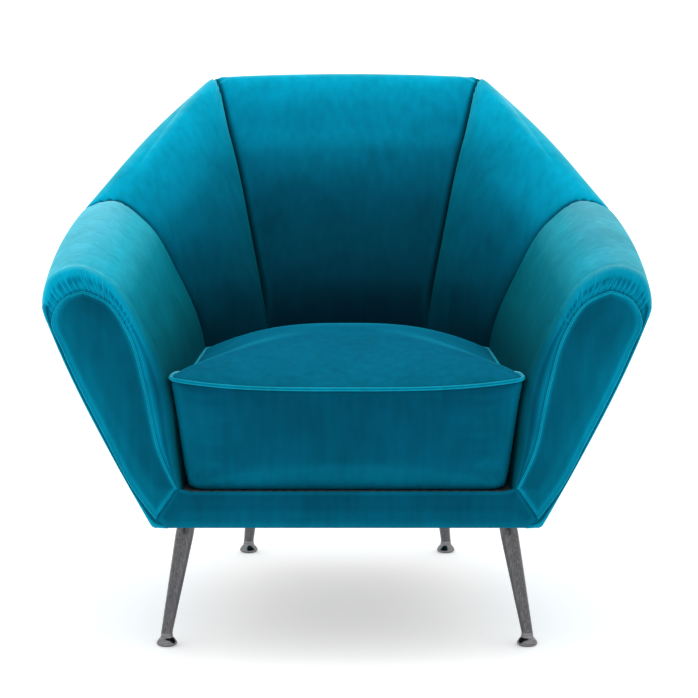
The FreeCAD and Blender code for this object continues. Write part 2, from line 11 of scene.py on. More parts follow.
import bmesh
import bpy
import numpy as np
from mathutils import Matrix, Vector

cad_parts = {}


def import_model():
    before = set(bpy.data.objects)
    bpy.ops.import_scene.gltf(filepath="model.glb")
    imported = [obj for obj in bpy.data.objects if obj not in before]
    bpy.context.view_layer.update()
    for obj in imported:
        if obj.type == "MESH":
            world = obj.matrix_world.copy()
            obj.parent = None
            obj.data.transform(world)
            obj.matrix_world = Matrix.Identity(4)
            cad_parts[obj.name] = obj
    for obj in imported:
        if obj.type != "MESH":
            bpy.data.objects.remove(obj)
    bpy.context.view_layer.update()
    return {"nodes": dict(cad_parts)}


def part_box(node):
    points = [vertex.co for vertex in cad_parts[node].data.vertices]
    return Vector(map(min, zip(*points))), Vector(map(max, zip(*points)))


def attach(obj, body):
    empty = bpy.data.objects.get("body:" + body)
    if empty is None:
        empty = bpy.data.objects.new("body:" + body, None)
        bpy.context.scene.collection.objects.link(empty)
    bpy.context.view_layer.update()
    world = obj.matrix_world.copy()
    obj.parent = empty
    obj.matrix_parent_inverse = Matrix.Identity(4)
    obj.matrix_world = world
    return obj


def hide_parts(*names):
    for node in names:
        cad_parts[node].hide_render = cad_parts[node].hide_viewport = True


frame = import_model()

nodes = frame["nodes"]

# %% [markdown]
# ## Small tools for node trees
# Materials and Geometry Nodes are both node trees. One helper adds a node, sets
# it up and links it, so that each tree below reads as a list of its steps.

# %% Node and colour helpers
def plug(tree, node, inputs):
    """Set a node's inputs, each to a value or a link."""
    for key, value in inputs.items():
        if isinstance(value, bpy.types.NodeSocket):
            tree.links.new(value, node.inputs[key])
        else:
            node.inputs[key].default_value = value


def add(tree, kind, inputs=None, **settings):
    """Add one node, with its settings and with values or links at its inputs."""
    made = tree.nodes.new(kind)
    for key, value in settings.items():
        setattr(made, key, value)
    plug(tree, made, inputs or {})
    return made


def linear(hex_colour):
    """Turn an sRGB hex colour into the linear RGBA that shaders expect."""
    parts = [int(hex_colour[i:i + 2], 16) / 255 for i in (1, 3, 5)]
    flat = [c / 12.92 if c <= 0.04045 else ((c + 0.055) / 1.055) ** 2.4 for c in parts]
    return (*flat, 1.0)


def new_material(name):
    """An empty material tree with its Principled shader and output."""
    material = bpy.data.materials.new(name)
    material.use_nodes = True
    tree = material.node_tree
    tree.nodes.clear()
    shader = add(tree, "ShaderNodeBsdfPrincipled")
    add(tree, "ShaderNodeOutputMaterial", {"Surface": shader.outputs["BSDF"]})
    place = add(tree, "ShaderNodeTexCoord").outputs["Object"]
    return material, tree, shader, place


def noise(tree, place, size_mm, detail=2.0, stretch=(1.0, 1.0, 1.0)):
    """Noise whose blobs are about size_mm across, longer where stretch is above 1."""
    scale = [1000.0 / (size_mm * s) for s in stretch]
    mapped = add(tree, "ShaderNodeMapping", {"Vector": place, "Scale": scale})
    inputs = {"Vector": mapped.outputs["Vector"], "Scale": 1.0, "Detail": detail}
    return add(tree, "ShaderNodeTexNoise", inputs).outputs["Fac"]


def ramp(tree, factor, stops):
    """Colours at places from 0 to 1 along a factor."""
    made = add(tree, "ShaderNodeValToRGB", {"Fac": factor})
    elements = made.color_ramp.elements
    while len(elements) < len(stops):
        elements.new(0.5)
    for element, (place, colour) in zip(elements, stops):
        element.position = place
        element.color = linear(colour)
    return made.outputs["Color"]


def bump(tree, height, depth_mm, strength=1.0, under=None):
    """Small relief of a real depth, over another relief if one is given."""
    inputs = {"Height": height, "Distance": depth_mm / 1000, "Strength": strength}
    if under is not None:
        inputs["Normal"] = under
    return add(tree, "ShaderNodeBump", inputs).outputs["Normal"]


# %% [markdown]
# ## Velvet
# Cut velvet is a short dense pile that stands on its weave. Seen face on, the
# eye looks down between the fibres and the cloth is deep and dark. Seen along
# the surface, the fibre tips catch the light and it turns pale. Hands and
# brushing lay the pile in patches, so the tone drifts in soft clouds and in
# streaks along the nap. Layer Weight picks the colour for the angle, so the dark
# face-on colour is painted shade and the pale edge is painted sheen, and a little
# real sheen adds to the edge. Less light reaches down inside the shell and into
# the seams than a studio light gives here, so the channels carry a depth value
# that darkens them there. It is painted shade, and not a thing the cloth itself
# has. Pieces also get lighter or darker copies of the velvet: painted light and
# shade piece by piece.

# %% Velvet material
PILE_MM = 1.6            # real pile tufts are 0.3 mm, drawn coarser so that they show
NAP_CLOUD_MM = 85.0
NAP_STREAK_MM = 12.0
# Painted shade: how much darker the channels get with the depth value.
DEPTH_SHADE_TONES = [(0.0, "#FFFFFF"), (0.1, "#94F0F2"), (0.3, "#30B6BA"), (0.5, "#08969A"),
               (0.75, "#007A7C"), (1.0, "#005A5C")]
EVEN_LAY = ("#DCDCDC", "#EEEEEE", "#FFFFFF")     # how much the tone drifts with the pile
# The same drift, darker overall: painted shade for the sitter's left arm.
SHADED_ARM_LAY = ("#C4C4C4", "#D2D2D2", "#E4E4E4")


def multiplied(tree, colour, tone):
    """One colour times another."""
    return add(tree, "ShaderNodeMix", {"Factor": 1.0, "A": colour, "B": tone},
               data_type="RGBA", blend_type="MULTIPLY").outputs["Result"]


def make_velvet(name, stops, deep=False, lay_tones=EVEN_LAY, sheen=0.12):
    """Cut velvet: painted shade face on and painted sheen edge on, by the angle, drifting with the lay
    of the pile, and painted depth shade when deep is set.
    """
    material, tree, shader, place = new_material(name)
    clouds = noise(tree, place, NAP_CLOUD_MM, 3.0)
    streaks = noise(tree, place, NAP_STREAK_MM, 3.0, (1.0, 1.0, 6.0))
    half = add(tree, "ShaderNodeMath", {0: streaks, 1: 0.45}, operation="MULTIPLY")
    both = add(tree, "ShaderNodeMath", {0: clouds, 1: 0.55, 2: half.outputs[0]},
               operation="MULTIPLY_ADD")
    lay = ramp(tree, both.outputs[0], list(zip((0.34, 0.5, 0.68), lay_tones)))
    # Colour by the angle: painted shade face on, painted sheen edge on.
    edge = add(tree, "ShaderNodeLayerWeight", {"Blend": 0.5}).outputs["Facing"]
    tone = ramp(tree, edge, stops)
    colour = multiplied(tree, tone, lay)
    # Painted shade from the depth value, darkest deep in the shell and in the seams.
    if deep:
        down = add(tree, "ShaderNodeAttribute", attribute_name="depth").outputs["Fac"]
        colour = multiplied(tree, colour, ramp(tree, down, DEPTH_SHADE_TONES))
    pile = noise(tree, place, PILE_MM, 2.0)
    plug(tree, shader, {"Base Color": colour, "Normal": bump(tree, pile, 0.5, 0.35),
                        "Roughness": 0.85, "Specular IOR Level": 0.02,
                        "Sheen Weight": sheen, "Sheen Roughness": 0.3,
                        "Sheen Tint": linear("#10C8E8")})
    return material


velvet = make_velvet("teal_cut_velvet", [(0.0, "#004E66"), (0.1, "#007E9C"), (0.5, "#0494B4"),
                                         (0.86, "#12A4C2"), (1.0, "#74D0E4")])
# The channels get a lighter copy of the velvet, a painted light, with painted depth shade on top.
LIT_CHANNEL_TONES = [(0.0, "#007292"), (0.1, "#009EC2"), (0.42, "#04ACCE"), (0.68, "#3CBCD6"),
                 (0.86, "#70CEE2"), (1.0, "#98E0EE")]
lit_channel_velvet = make_velvet("teal_cut_velvet_channels", LIT_CHANNEL_TONES, deep=True)
# The sitter's left arm gets a darker copy: painted shade on that side.
shaded_left_arm_velvet = make_velvet("teal_cut_velvet_brushed_down", LIT_CHANNEL_TONES, deep=True,
                              lay_tones=SHADED_ARM_LAY)
# The seat and front rail get a darker copy of the velvet: painted shade.
shaded_seat_velvet = make_velvet("teal_cut_velvet_seat", [(0.0, "#004C66"), (0.1, "#00607A"),
                                                   (0.5, "#006A86"), (0.86, "#006C8C"),
                                                   (1.0, "#1090B0")])
# The welts get a lighter copy of the velvet: a painted highlight along the seams.
lit_welt_velvet = make_velvet("teal_velvet_welt", [(0.0, "#006E8A"), (0.1, "#0090AE"),
                                               (0.5, "#109CBA"), (0.86, "#2CB0CC"),
                                               (1.0, "#8CDCEC")])
print("velvets:", velvet.name, lit_welt_velvet.name)

# %% [markdown]
# ## Metals
# The legs are steel tubes, ground along their length and nickel plated dark, so
# their highlights run the long way. Each foot is turned and polished. Springs,
# screws and staples are plain drawn wire, a little dull.

# %% Metal materials
def make_metal(name, colour, darker, roughness, grain_mm, stretch, relief_mm):
    """Metal whose tone and gloss drift along its grain."""
    material, tree, shader, place = new_material(name)
    grain = noise(tree, place, grain_mm, 4.0, stretch)
    tone = ramp(tree, grain, [(0.3, darker), (0.7, colour)])
    gloss = add(tree, "ShaderNodeMapRange", {"Value": grain, "To Min": roughness * 0.75,
                                             "To Max": roughness * 1.25})
    plug(tree, shader, {"Base Color": tone, "Roughness": gloss.outputs["Result"],
                        "Normal": bump(tree, grain, relief_mm, 0.4), "Metallic": 1.0})
    return material


leg_metal = make_metal("steel_tube_brushed_dark_nickel", "#6E6E70", "#48484A", 0.26,
                       1.2, (1.0, 1.0, 40.0), 0.02)
foot_metal = make_metal("steel_foot_turned_polished", "#8A8A8C", "#5E5E60", 0.16,
                        1.0, (12.0, 12.0, 1.0), 0.015)
wire_metal = make_metal("spring_steel_drawn_wire", "#7D7B78", "#5C5A58", 0.42,
                        2.0, (1.0, 6.0, 1.0), 0.03)
screw_metal = make_metal("screw_steel_zinc_plated", "#B4B6B0", "#8F918C", 0.3,
                         0.8, (4.0, 4.0, 1.0), 0.02)
zip_metal = make_metal("zip_metal_antique_brass", "#A9885A", "#7C6038", 0.32,
                       0.8, (1.0, 1.0, 3.0), 0.02)

# %% [markdown]
# ## Timber, board, jute and cloths
# Frame rails are planed beech with a straight fine grain. The arms and wings are
# backed by hardboard, the back by woven jute straps. Under the seat is a black
# non-woven dust cloth, and over the springs a woven cotton deck cloth.

# %% Frame and cloth materials
def make_weave(name, light, dark, thread_mm, roughness, relief_mm):
    """Plain woven cloth: two thread directions that cross over and under."""
    material, tree, shader, place = new_material(name)
    bands = []
    for axis in ("X", "Y"):
        wave = add(tree, "ShaderNodeTexWave", {"Vector": place, "Distortion": 0.6,
                                               "Scale": 1000.0 / thread_mm / 20.0,
                                               "Detail Scale": 3.0},
                   bands_direction=axis)
        bands.append(wave.outputs["Fac"])
    cross = add(tree, "ShaderNodeMath", {0: bands[0], 1: bands[1]}, operation="MULTIPLY")
    dust = noise(tree, place, 30.0, 3.0)
    both = add(tree, "ShaderNodeMath", {0: cross.outputs[0], 1: 0.6, 2: dust},
               operation="MULTIPLY_ADD")
    tone = ramp(tree, both.outputs[0], [(0.3, dark), (0.9, light)])
    plug(tree, shader, {"Base Color": tone, "Normal": bump(tree, cross.outputs[0], relief_mm, 0.8),
                        "Roughness": roughness, "Specular IOR Level": 0.2})
    return material


def make_grain(name, light, dark, grain_mm, stretch, roughness, relief_mm):
    """Fibres or grain that run along the stretched axis."""
    material, tree, shader, place = new_material(name)
    fine = noise(tree, place, grain_mm, 5.0, stretch)
    broad = noise(tree, place, grain_mm * 8, 2.0, stretch)
    both = add(tree, "ShaderNodeMath", {0: fine, 1: broad}, operation="MULTIPLY")
    tone = ramp(tree, both.outputs[0], [(0.12, dark), (0.4, light)])
    plug(tree, shader, {"Base Color": tone, "Normal": bump(tree, fine, relief_mm, 0.5),
                        "Roughness": roughness})
    return material


timber = make_grain("beech_planed", "#D9B98C", "#B08A5C", 2.0, (8.0, 8.0, 1.0), 0.6, 0.1)
board = make_grain("hardboard_pressed", "#8F6B48", "#6E4F33", 1.5, (1.0, 1.0, 1.0), 0.7, 0.1)
jute = make_weave("jute_webbing_woven", "#B89B6A", "#7E6640", 3.0, 0.9, 0.5)
dust_cloth = make_weave("polypropylene_dust_cloth_bonded", "#2A2A2C", "#141416", 2.4, 0.85, 0.2)
deck_weave = make_weave("cotton_deck_cloth_woven", "#4A5A60", "#2E3C42", 2.4, 0.9, 0.3)
tape_weave = make_weave("polyester_zip_tape_woven", "#0A5A70", "#04384A", 1.6, 0.8, 0.2)
pad_plastic = make_grain("polyethylene_pad_moulded", "#26262A", "#18181A", 1.2,
                         (1.0, 1.0, 1.0), 0.55, 0.05)
thread = make_grain("polyester_thread_twisted", "#0B6A82", "#04465A", 0.8,
                    (1.0, 1.0, 1.0), 0.6, 0.1)
print("materials:", len(bpy.data.materials))

# %% [markdown]
# ## The three seams that carry the shell
# The shell is ruled: straight lines run from each upright seam to the next. So
# the shape is known once the outline is known at the arm's front, at the seam
# from arm to wing, and at the seam from wing to back. Each outline is a smooth
# line through a few bends: up the inner face, over the roll, down the outside.

# %% Sizes from the frame, and the seams
back_low, back_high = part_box("back_cover")
arm_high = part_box("left_arm_cover")[1]
BASE_TOP = back_low.z
REAR = back_high.y
BACK_TOP = back_high.z
BACK_HALF_TOP = back_high.x
HALF_WIDTH = arm_high.x
ARM_REAR_TOP = arm_high.z
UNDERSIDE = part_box("dust_cover")[0].z
ARM_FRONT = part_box("front_rail_cover")[1].y
RIDGE_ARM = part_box("left_outside_arm_panel")[1].z
RIDGE_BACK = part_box("left_outside_wing_panel")[1].z
SEAT_LINE = 0.412        # where the padding starts to lean away from the cushion
LOW_BEND_Z = 0.31
PANEL_COVER = 0.0045     # how deep the padding runs behind the outside panels
HAND_OVER = 0.06         # below the ridge, where it has reached that depth
TRACE = (12, 20, 30, 44, 60, 26, 26, 24)   # steps between the bends
HIDDEN = (20, 10)                          # steps down the back, and across the bottom


def through(points, counts):
    """Smooth open line through the points, with counts[i] steps in gap i."""
    points = np.asarray(points, float)
    gaps = np.linalg.norm(np.diff(points, axis=0), axis=1)
    runs = np.diff(points, axis=0) / gaps[:, None]
    before, after = gaps[:-1, None], gaps[1:, None]
    slopes = np.empty_like(points)
    slopes[1:-1] = (runs[:-1] * after + runs[1:] * before) / (before + after)
    slopes[0] = 1.5 * runs[0] - 0.5 * slopes[1]
    slopes[-1] = 1.5 * runs[-1] - 0.5 * slopes[-2]
    line = []
    for i, count in enumerate(counts):
        t = np.linspace(0, 1, count, endpoint=False)[:, None]
        start = (2 * t ** 3 - 3 * t ** 2 + 1) * points[i]
        end = (3 * t ** 2 - 2 * t ** 3) * points[i + 1]
        leave = (t ** 3 - 2 * t ** 2 + t) * gaps[i] * slopes[i]
        arrive = (t ** 3 - t ** 2) * gaps[i] * slopes[i + 1]
        line.append(start + end + leave + arrive)
    line.append(points[-1:])
    return np.concatenate(line)


def straight(points, counts):
    """Straight runs between the points, without the last point."""
    runs = zip(points[:-1], points[1:], counts)
    return np.concatenate([np.linspace(a, b, n, endpoint=False) for a, b, n in runs])


class Seam:
    """Upright slice through the shell, in depth from the inner face and height."""

    def __init__(self, inner, ridge, ridge_z, crest_z, crest_inset, foot, tuck, fullness):
        self.inner = np.array(inner)
        out = np.array(ridge) - self.inner
        self.ridge_u = np.linalg.norm(out)
        self.way = out / self.ridge_u
        self.ridge_z = ridge_z
        self.crest_z = crest_z
        self.crest_u = self.ridge_u - crest_inset
        self.foot_u = foot
        self.tuck = tuck
        self.fullness = fullness

    def place(self, flat):
        """Put points of depth and height into space."""
        flat = np.asarray(flat, float)
        plan = self.inner + self.way * flat[..., :1]
        return np.concatenate([plan, flat[..., 1:]], axis=-1)

    def outer_u(self, z):
        """Depth of the outside face at a height."""
        rise = (z - UNDERSIDE) / (self.ridge_z - UNDERSIDE)
        return self.foot_u + (self.ridge_u - self.foot_u) * rise

    def rise(self, share):
        """Bend of the inner face, a share of the way to the crest."""
        lift = share + 4 * self.fullness * share * (1 - share)
        return (share * self.crest_u, SEAT_LINE + lift * (self.crest_z - SEAT_LINE))

    def bends(self):
        """The outline's bends, from the deck up the inner face and over the roll."""
        low_share = (SEAT_LINE - LOW_BEND_Z) / (SEAT_LINE - BASE_TOP)
        under = self.ridge_z - HAND_OVER
        return [
            (-self.tuck, BASE_TOP),
            (-self.tuck * low_share, LOW_BEND_Z),
            (0.0, SEAT_LINE),
            self.rise(0.27),
            self.rise(0.64),
            (self.crest_u, self.crest_z),
            (self.ridge_u - 0.012, self.crest_z - 0.016),
            (self.ridge_u, self.ridge_z),
            (self.outer_u(under) - PANEL_COVER, under),
        ]

    def ring(self):
        """The closed outline, flat: the shown line, then back to its start, hidden."""
        shown = through(self.bends(), TRACE)
        heel = (self.outer_u(BASE_TOP) - PANEL_COVER, BASE_TOP)
        hidden = straight([shown[-1], heel, shown[0]], HIDDEN)
        return np.concatenate([shown, hidden[1:]])

    def normals(self):
        """Outward directions in space along the ring."""
        flat = self.ring()
        along = np.roll(flat, -1, 0) - np.roll(flat, 1, 0)
        along /= np.linalg.norm(along, axis=1)[:, None]
        out = np.stack([-along[:, 1], along[:, 0]], 1)
        return np.concatenate([self.way * out[:, :1], out[:, 1:]], 1)


arm_front_seam = Seam((0.260, ARM_FRONT), (HALF_WIDTH, ARM_FRONT), ridge_z=0.525, crest_z=0.578,
                      crest_inset=0.047, foot=0.024, tuck=0.020, fullness=0.28)
wing_seam = Seam((0.236, 0.120), (0.434, 0.045), ridge_z=RIDGE_ARM, crest_z=ARM_REAR_TOP,
                 crest_inset=0.062, foot=0.031, tuck=0.012, fullness=0.22)
back_seam, mirror_back_seam = [
    Seam((sign * 0.131, 0.178), (sign * BACK_HALF_TOP, REAR), ridge_z=RIDGE_BACK,
         crest_z=RIDGE_BACK + 0.032, crest_inset=0.030, foot=0.115, tuck=0.006, fullness=0.14)
    for sign in (1, -1)]
print("points in a ring:", len(back_seam.ring()), "crest of the back", back_seam.crest_z)

# %% [markdown]
# ## From rings to closed covers
# A channel is a row of rings, skinned with quads and closed at both ends. The
# normals are worked out again afterwards, so that left and right pieces both
# face outwards.

# %% Skinning helpers
SIDES = (("left", 1.0), ("right", -1.0))


def finish_mesh(name, points, faces, material, sharp_from=None, depth=None):
    """A shown object at the origin, from points and faces, that faces outwards."""
    mesh = bpy.data.meshes.new(name)
    mesh.from_pydata(np.asarray(points).tolist(), [], faces)
    if depth is not None:
        layer = mesh.attributes.new("depth", "FLOAT", "POINT")
        layer.data.foreach_set("value", np.asarray(depth, np.float32).ravel())
    work = bmesh.new()
    work.from_mesh(mesh)
    bmesh.ops.remove_doubles(work, verts=work.verts, dist=1e-6)
    bmesh.ops.recalc_face_normals(work, faces=work.faces)
    work.to_mesh(mesh)
    work.free()
    mesh.shade_smooth()
    if sharp_from is not None:
        mesh.set_sharp_from_angle(angle=math.radians(sharp_from))
    mesh.materials.append(material)
    piece = bpy.data.objects.new(name, mesh)
    bpy.context.scene.collection.objects.link(piece)
    return piece


def ring_quads(rows, around, joined_ends=False):
    """Quads from each ring to the next, and from the last to the first if asked."""
    row = np.arange(rows if joined_ends else rows - 1)[:, None]
    step = np.arange(around)[None, :]
    after = (step + 1) % around
    near = row * around
    far = (row + 1) % rows * around
    return np.stack([near + step, near + after, far + after, far + step], -1).reshape(-1, 4).tolist()


def skin(name, rings, material, sharp_from=60, depth=None):
    """Closed piece through a row of closed rings, with flat ends."""
    rings = np.asarray(rings)
    rows, around = rings.shape[:2]
    quads = ring_quads(rows, around)
    start = list(range(around))[::-1]
    end = list(range((rows - 1) * around, rows * around))
    return finish_mesh(name, rings.reshape(-1, 3), quads + [start, end], material, sharp_from,
                       depth)


def record(piece, body, slot_name, *nodes_replaced, fill=None):
    """Attach a piece to the body it rides on and hide the CAD nodes it replaces. The slot name and
    fill are not used.
    """
    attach(piece, body)
    if nodes_replaced:
        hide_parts(*nodes_replaced)


def smooth_step(x, low, high):
    """0 below low, 1 above high, and a soft change between."""
    t = np.clip((x - low) / (high - low), 0, 1)
    return t * t * (3 - 2 * t)


def dent(distance, width):
    """A groove's depth share at a distance from its middle."""
    return np.exp(-(distance / width) ** 2)


def roll_in(distance, width):
    """How far a cover has turned into its seam: 1 at the seam, 0 past the width."""
    near = 1 - np.clip(distance / width, 0, 1)
    return 1 - np.sqrt(np.clip(1 - near ** 2, 0, 1))


EDGE_ROWS = np.array([0.0, 0.0006, 0.0016, 0.003, 0.005, 0.0075, 0.0105, 0.014, 0.018])


def shares_between(length, start_rows, end_rows, middle):
    """Shares along rulings of the given lengths, with rows packed near the seams."""
    start = start_rows[:, None] / length
    end = 1 - end_rows[::-1, None] / length
    between = np.linspace(0, 1, middle + 2)[1:-1, None]
    inner = start[-1:] + (end[:1] - start[-1:]) * between
    return np.concatenate([start, inner, end])


def arc_from(line, index):
    """Distance along a line, measured from the point with that index."""
    steps = np.linalg.norm(np.diff(line, axis=0), axis=1)
    along = np.concatenate([[0.0], np.cumsum(steps)])
    return along - along[index]


BEND_AT = np.concatenate([[0], np.cumsum(TRACE)])    # ring index of each bend
CREST_AT = BEND_AT[5]
RIDGE_AT = BEND_AT[7]
RING_SIZE = len(arm_front_seam.ring())
shown_share = np.zeros(RING_SIZE)
shown_share[:RIDGE_AT + 1] = 1.0
shown_share[RIDGE_AT:BEND_AT[8]] = np.linspace(1, 0, TRACE[-1])
# Painted shade in the seams and outside the ridge, carried by the depth value.
SEAM_SHADE = 0.6             # depth value added in a seam
SEAM_SHADE_WIDTH = 0.0042
OUTER_PAINTED_SHADE = 0.12            # depth value outside the ridge


def painted_shell_shade(rings, first_rows=0):
    """Painted shade for each place of a channel: 0 at the crest, 1 at the seat, more in the seams, a
    little outside the ridge.
    """
    crest = rings[:, CREST_AT, 2][:, None]
    depth = np.clip((crest - rings[..., 2]) / (crest - SEAT_LINE), 0, 1)
    depth[:, CREST_AT:] = 0.0
    depth[:, CREST_AT:RIDGE_AT] = OUTER_PAINTED_SHADE * np.linspace(0, 1, RIDGE_AT - CREST_AT)
    depth[:, RIDGE_AT:] = OUTER_PAINTED_SHADE
    depth[:first_rows] *= np.linspace(0, 1, first_rows)[:, None]
    in_seam = SEAM_SHADE * dent(EDGE_ROWS, SEAM_SHADE_WIDTH)[:, None]
    if not first_rows:
        depth[:len(EDGE_ROWS)] += in_seam
    depth[-len(EDGE_ROWS):] += in_seam[::-1]
    return np.clip(depth, 0, 1)


# %% [markdown]
# ## Puckers
# Where two curved covers of different length are sewn together, the longer one
# is eased in, and short creases fan away from the seam. Each crease here is a
# narrow groove that starts at the seam, leans a little and fades out.

# %% Pucker relief
def puckers(rng, along, away, places, depth, reach, lean, width=0.0028):
    """Sum of short grooves. Along and away are distances on the cover."""
    relief = np.zeros(np.broadcast(along, away).shape)
    for place in places:
        own_reach = reach * rng.uniform(0.7, 1.3)
        own_lean = lean * rng.uniform(0.7, 1.3)
        own_place = place + rng.uniform(-0.002, 0.002)
        groove = dent(along - own_place - own_lean * away, width * rng.uniform(0.85, 1.3))
        swell = dent(along - own_place - own_lean * away - 2.1 * width, width * 1.4)
        fade = np.exp(-(away / own_reach) ** 2) * smooth_step(away, 0.0, 0.002)
        relief += depth * rng.uniform(0.7, 1.2) * (0.45 * swell - groove) * fade
    return relief


# %% [markdown]
# ## Arms
# Each arm is one long channel. Its cover comes over the roll, turns forward over
# the padded front and is gathered into the welt round the facing. So its first
# rows are a quarter round from the facing's edge out to the full outline, and
# the pleats of the gathers are pressed into that quarter round.

# %% The facing's edge
FACING_SEAM_Y = ARM_FRONT - 0.001
facing_bends = [
    (0.2465, 0.2585), (0.2680, 0.3060), (0.2915, 0.4125), (0.3125, 0.4850),
    (0.3430, 0.5300), (0.3770, 0.5460), (0.4060, 0.5330), (0.4205, 0.5040), (0.4060, 0.4640),
]
facing_heel = (0.3050, 0.2585)
facing_shown = through(facing_bends, TRACE)
facing_hidden = straight([facing_shown[-1], facing_heel, facing_shown[0]], HIDDEN)
facing_ring = np.concatenate([facing_shown, facing_hidden[1:]])
facing_arc = arc_from(facing_ring, CREST_AT)
print("facing edge, sewn length:", round(float(np.ptp(facing_arc[:BEND_AT[8]])), 3), "m")

# %% [markdown]
# The rings of an arm start on the facing's edge, swell forward into the quarter
# round, and then run straight back to the wing's seam. The pleats have random
# widths and gaps from a fixed seed, because hand gathering is never even.

# %% Arm rings
FRONT_ROUND_ROWS = 22
ARM_ROUND_DEPTH = 0.026      # how far back the front has turned into the roll
ARM_FRONT_SWELL = 0.0075
GATHER_PITCH = 0.0078
GATHER_DEPTH = 0.0026
GATHER_REACH = 0.52          # as a share of the quarter round
ARM_PUFF = 0.007
SEAM_DEPTH = 0.0125
SEAM_WIDTH = 0.017
ARM_MIDDLE_ROWS = 56


def gathers(rng, share):
    """Pleats that fan out from the top of the facing, as inward relief."""
    first = facing_arc[BEND_AT[3]] - 0.012
    last = facing_arc[RIDGE_AT] + 0.03
    relief = np.zeros((len(share), RING_SIZE))
    place = first
    while place < last:
        width = 0.0014 * rng.uniform(0.8, 1.35)
        reach = GATHER_REACH * rng.uniform(0.6, 1.35)
        depth = GATHER_DEPTH * rng.uniform(0.45, 1.15)
        lean = rng.uniform(-0.0015, 0.0015)
        fade = np.exp(-(share / reach) ** 2) * smooth_step(share, 0.0, 0.03)
        across = facing_arc[None, :] - place - lean * share[:, None]
        ridge = 0.3 * dent(across - 1.9 * width, 1.3 * width)
        relief += depth * fade[:, None] * (dent(across, width) - ridge)
        place += GATHER_PITCH * rng.uniform(0.72, 1.3)
    ends = smooth_step(facing_arc, first, first + 0.03)
    ends = ends * (1 - smooth_step(facing_arc, last - 0.03, last))
    return relief * ends[None, :]


def arm_rings(seed):
    """Rings of one arm, for the sitter's left."""
    rng = random.Random(seed)
    start = arm_front_seam.place(arm_front_seam.ring())
    end = wing_seam.place(wing_seam.ring())
    length = np.linalg.norm(end - start, axis=1)
    full_at = ARM_ROUND_DEPTH / length
    full = start + (end - start) * full_at[:, None]
    edge = np.stack([facing_ring[:, 0], np.full(RING_SIZE, FACING_SEAM_Y), facing_ring[:, 1]], 1)
    out = arm_front_seam.normals()
    turn = np.linspace(0, np.pi / 2, FRONT_ROUND_ROWS)[:-1]
    share = turn / (np.pi / 2)
    pleats = gathers(rng, share)
    rings = []
    for a, pleat in zip(turn, pleats):
        row = edge + (full - edge) * math.sin(a)
        row[:, 1] = FACING_SEAM_Y + (full[:, 1] - FACING_SEAM_Y) * (1 - math.cos(a))
        row[:, 1] -= ARM_FRONT_SWELL * math.sin(2 * a)
        push = math.cos(a) * np.array([0.0, -1.0, 0.0]) + math.sin(a) * out
        rings.append(row - push * pleat[:, None])
    end_out = wing_seam.normals()
    w = shares_between(length * (1 - full_at), np.array([0.0]), EDGE_ROWS, ARM_MIDDLE_ROWS)
    base = full + (end - full) * w[..., None]
    push = out + (end_out - out) * w[..., None]
    push /= np.linalg.norm(push, axis=-1)[..., None]
    to_seam = (1 - w) * (length * (1 - full_at))
    above = smooth_step(base[..., 2], SEAT_LINE - 0.01, SEAT_LINE + 0.07)
    lift = ARM_PUFF * above * np.sin(np.pi * w) ** 0.8
    lift = lift - SEAM_DEPTH * roll_in(to_seam, SEAM_WIDTH) * (0.35 + 0.65 * above)
    arc = arc_from(end, CREST_AT)[None, :]
    lift = lift + puckers(rng, arc, to_seam, (-0.03, 0.008, 0.028), 0.0012, 0.02, 0.5)
    lift = lift * shown_share
    return np.concatenate([rings, base + push * lift[..., None]])


ARM_SEEDS = {"left": 11, "right": 12}
for side, sign in SIDES:
    rings = arm_rings(ARM_SEEDS[side]) * [sign, 1.0, 1.0]
    # The sitter's left arm takes the darker copy, a painted shade on that side.
    arm_velvet = shaded_left_arm_velvet if side == "left" else lit_channel_velvet
    arm = skin(side + "_arm_padding", rings, arm_velvet,
               depth=painted_shell_shade(rings, FRONT_ROUND_ROWS))
    record(arm, "shell", "velvet", side + "_arm_cover", side + "_arm_foam", fill=0.9)
print("arm rings:", rings.shape)

# %% [markdown]
# ## Wings and back
# The three channels behind the sitter are ruled the same way, with a swell of
# stuffing between the seams and a deep valley at each one. The top of a back
# seam is where the cover turns over the edge, so that is where it puckers.

# %% Wing rings
WING_PUFF = 0.013
WING_LEAN = 0.65             # how much fuller a wing is beside the back
WING_MIDDLE_ROWS = 60
TOP_PUCKERS = (0.012, 0.026, 0.040)      # below the crest, along the seam


def channel_rings(first, second, puff, middle, relief, lean=0.0):
    """Rings of a channel between two seams. A lean makes it fuller by the second one."""
    start, end = first.place(first.ring()), second.place(second.ring())
    length = np.linalg.norm(end - start, axis=1)
    w = shares_between(length, EDGE_ROWS, EDGE_ROWS, middle)
    base = start + (end - start) * w[..., None]
    push = first.normals() + (second.normals() - first.normals()) * w[..., None]
    push /= np.linalg.norm(push, axis=-1)[..., None]
    above = smooth_step(base[..., 2], SEAT_LINE - 0.01, SEAT_LINE + 0.08)
    lift = puff * above * np.sin(np.pi * w) ** 0.7 * (1 + lean * (2 * w - 1))
    valleys = roll_in(w * length, SEAM_WIDTH) + roll_in((1 - w) * length, SEAM_WIDTH)
    crest = base[:, CREST_AT:CREST_AT + 1, 2]
    over = smooth_step(base[..., 2], crest - 0.06, crest - 0.005)
    lift = lift - SEAM_DEPTH * valleys * (0.35 + 0.65 * above) * (1 - 0.6 * over)
    lift = (lift + relief(w * length, (1 - w) * length)) * shown_share
    return base + push * lift[..., None]


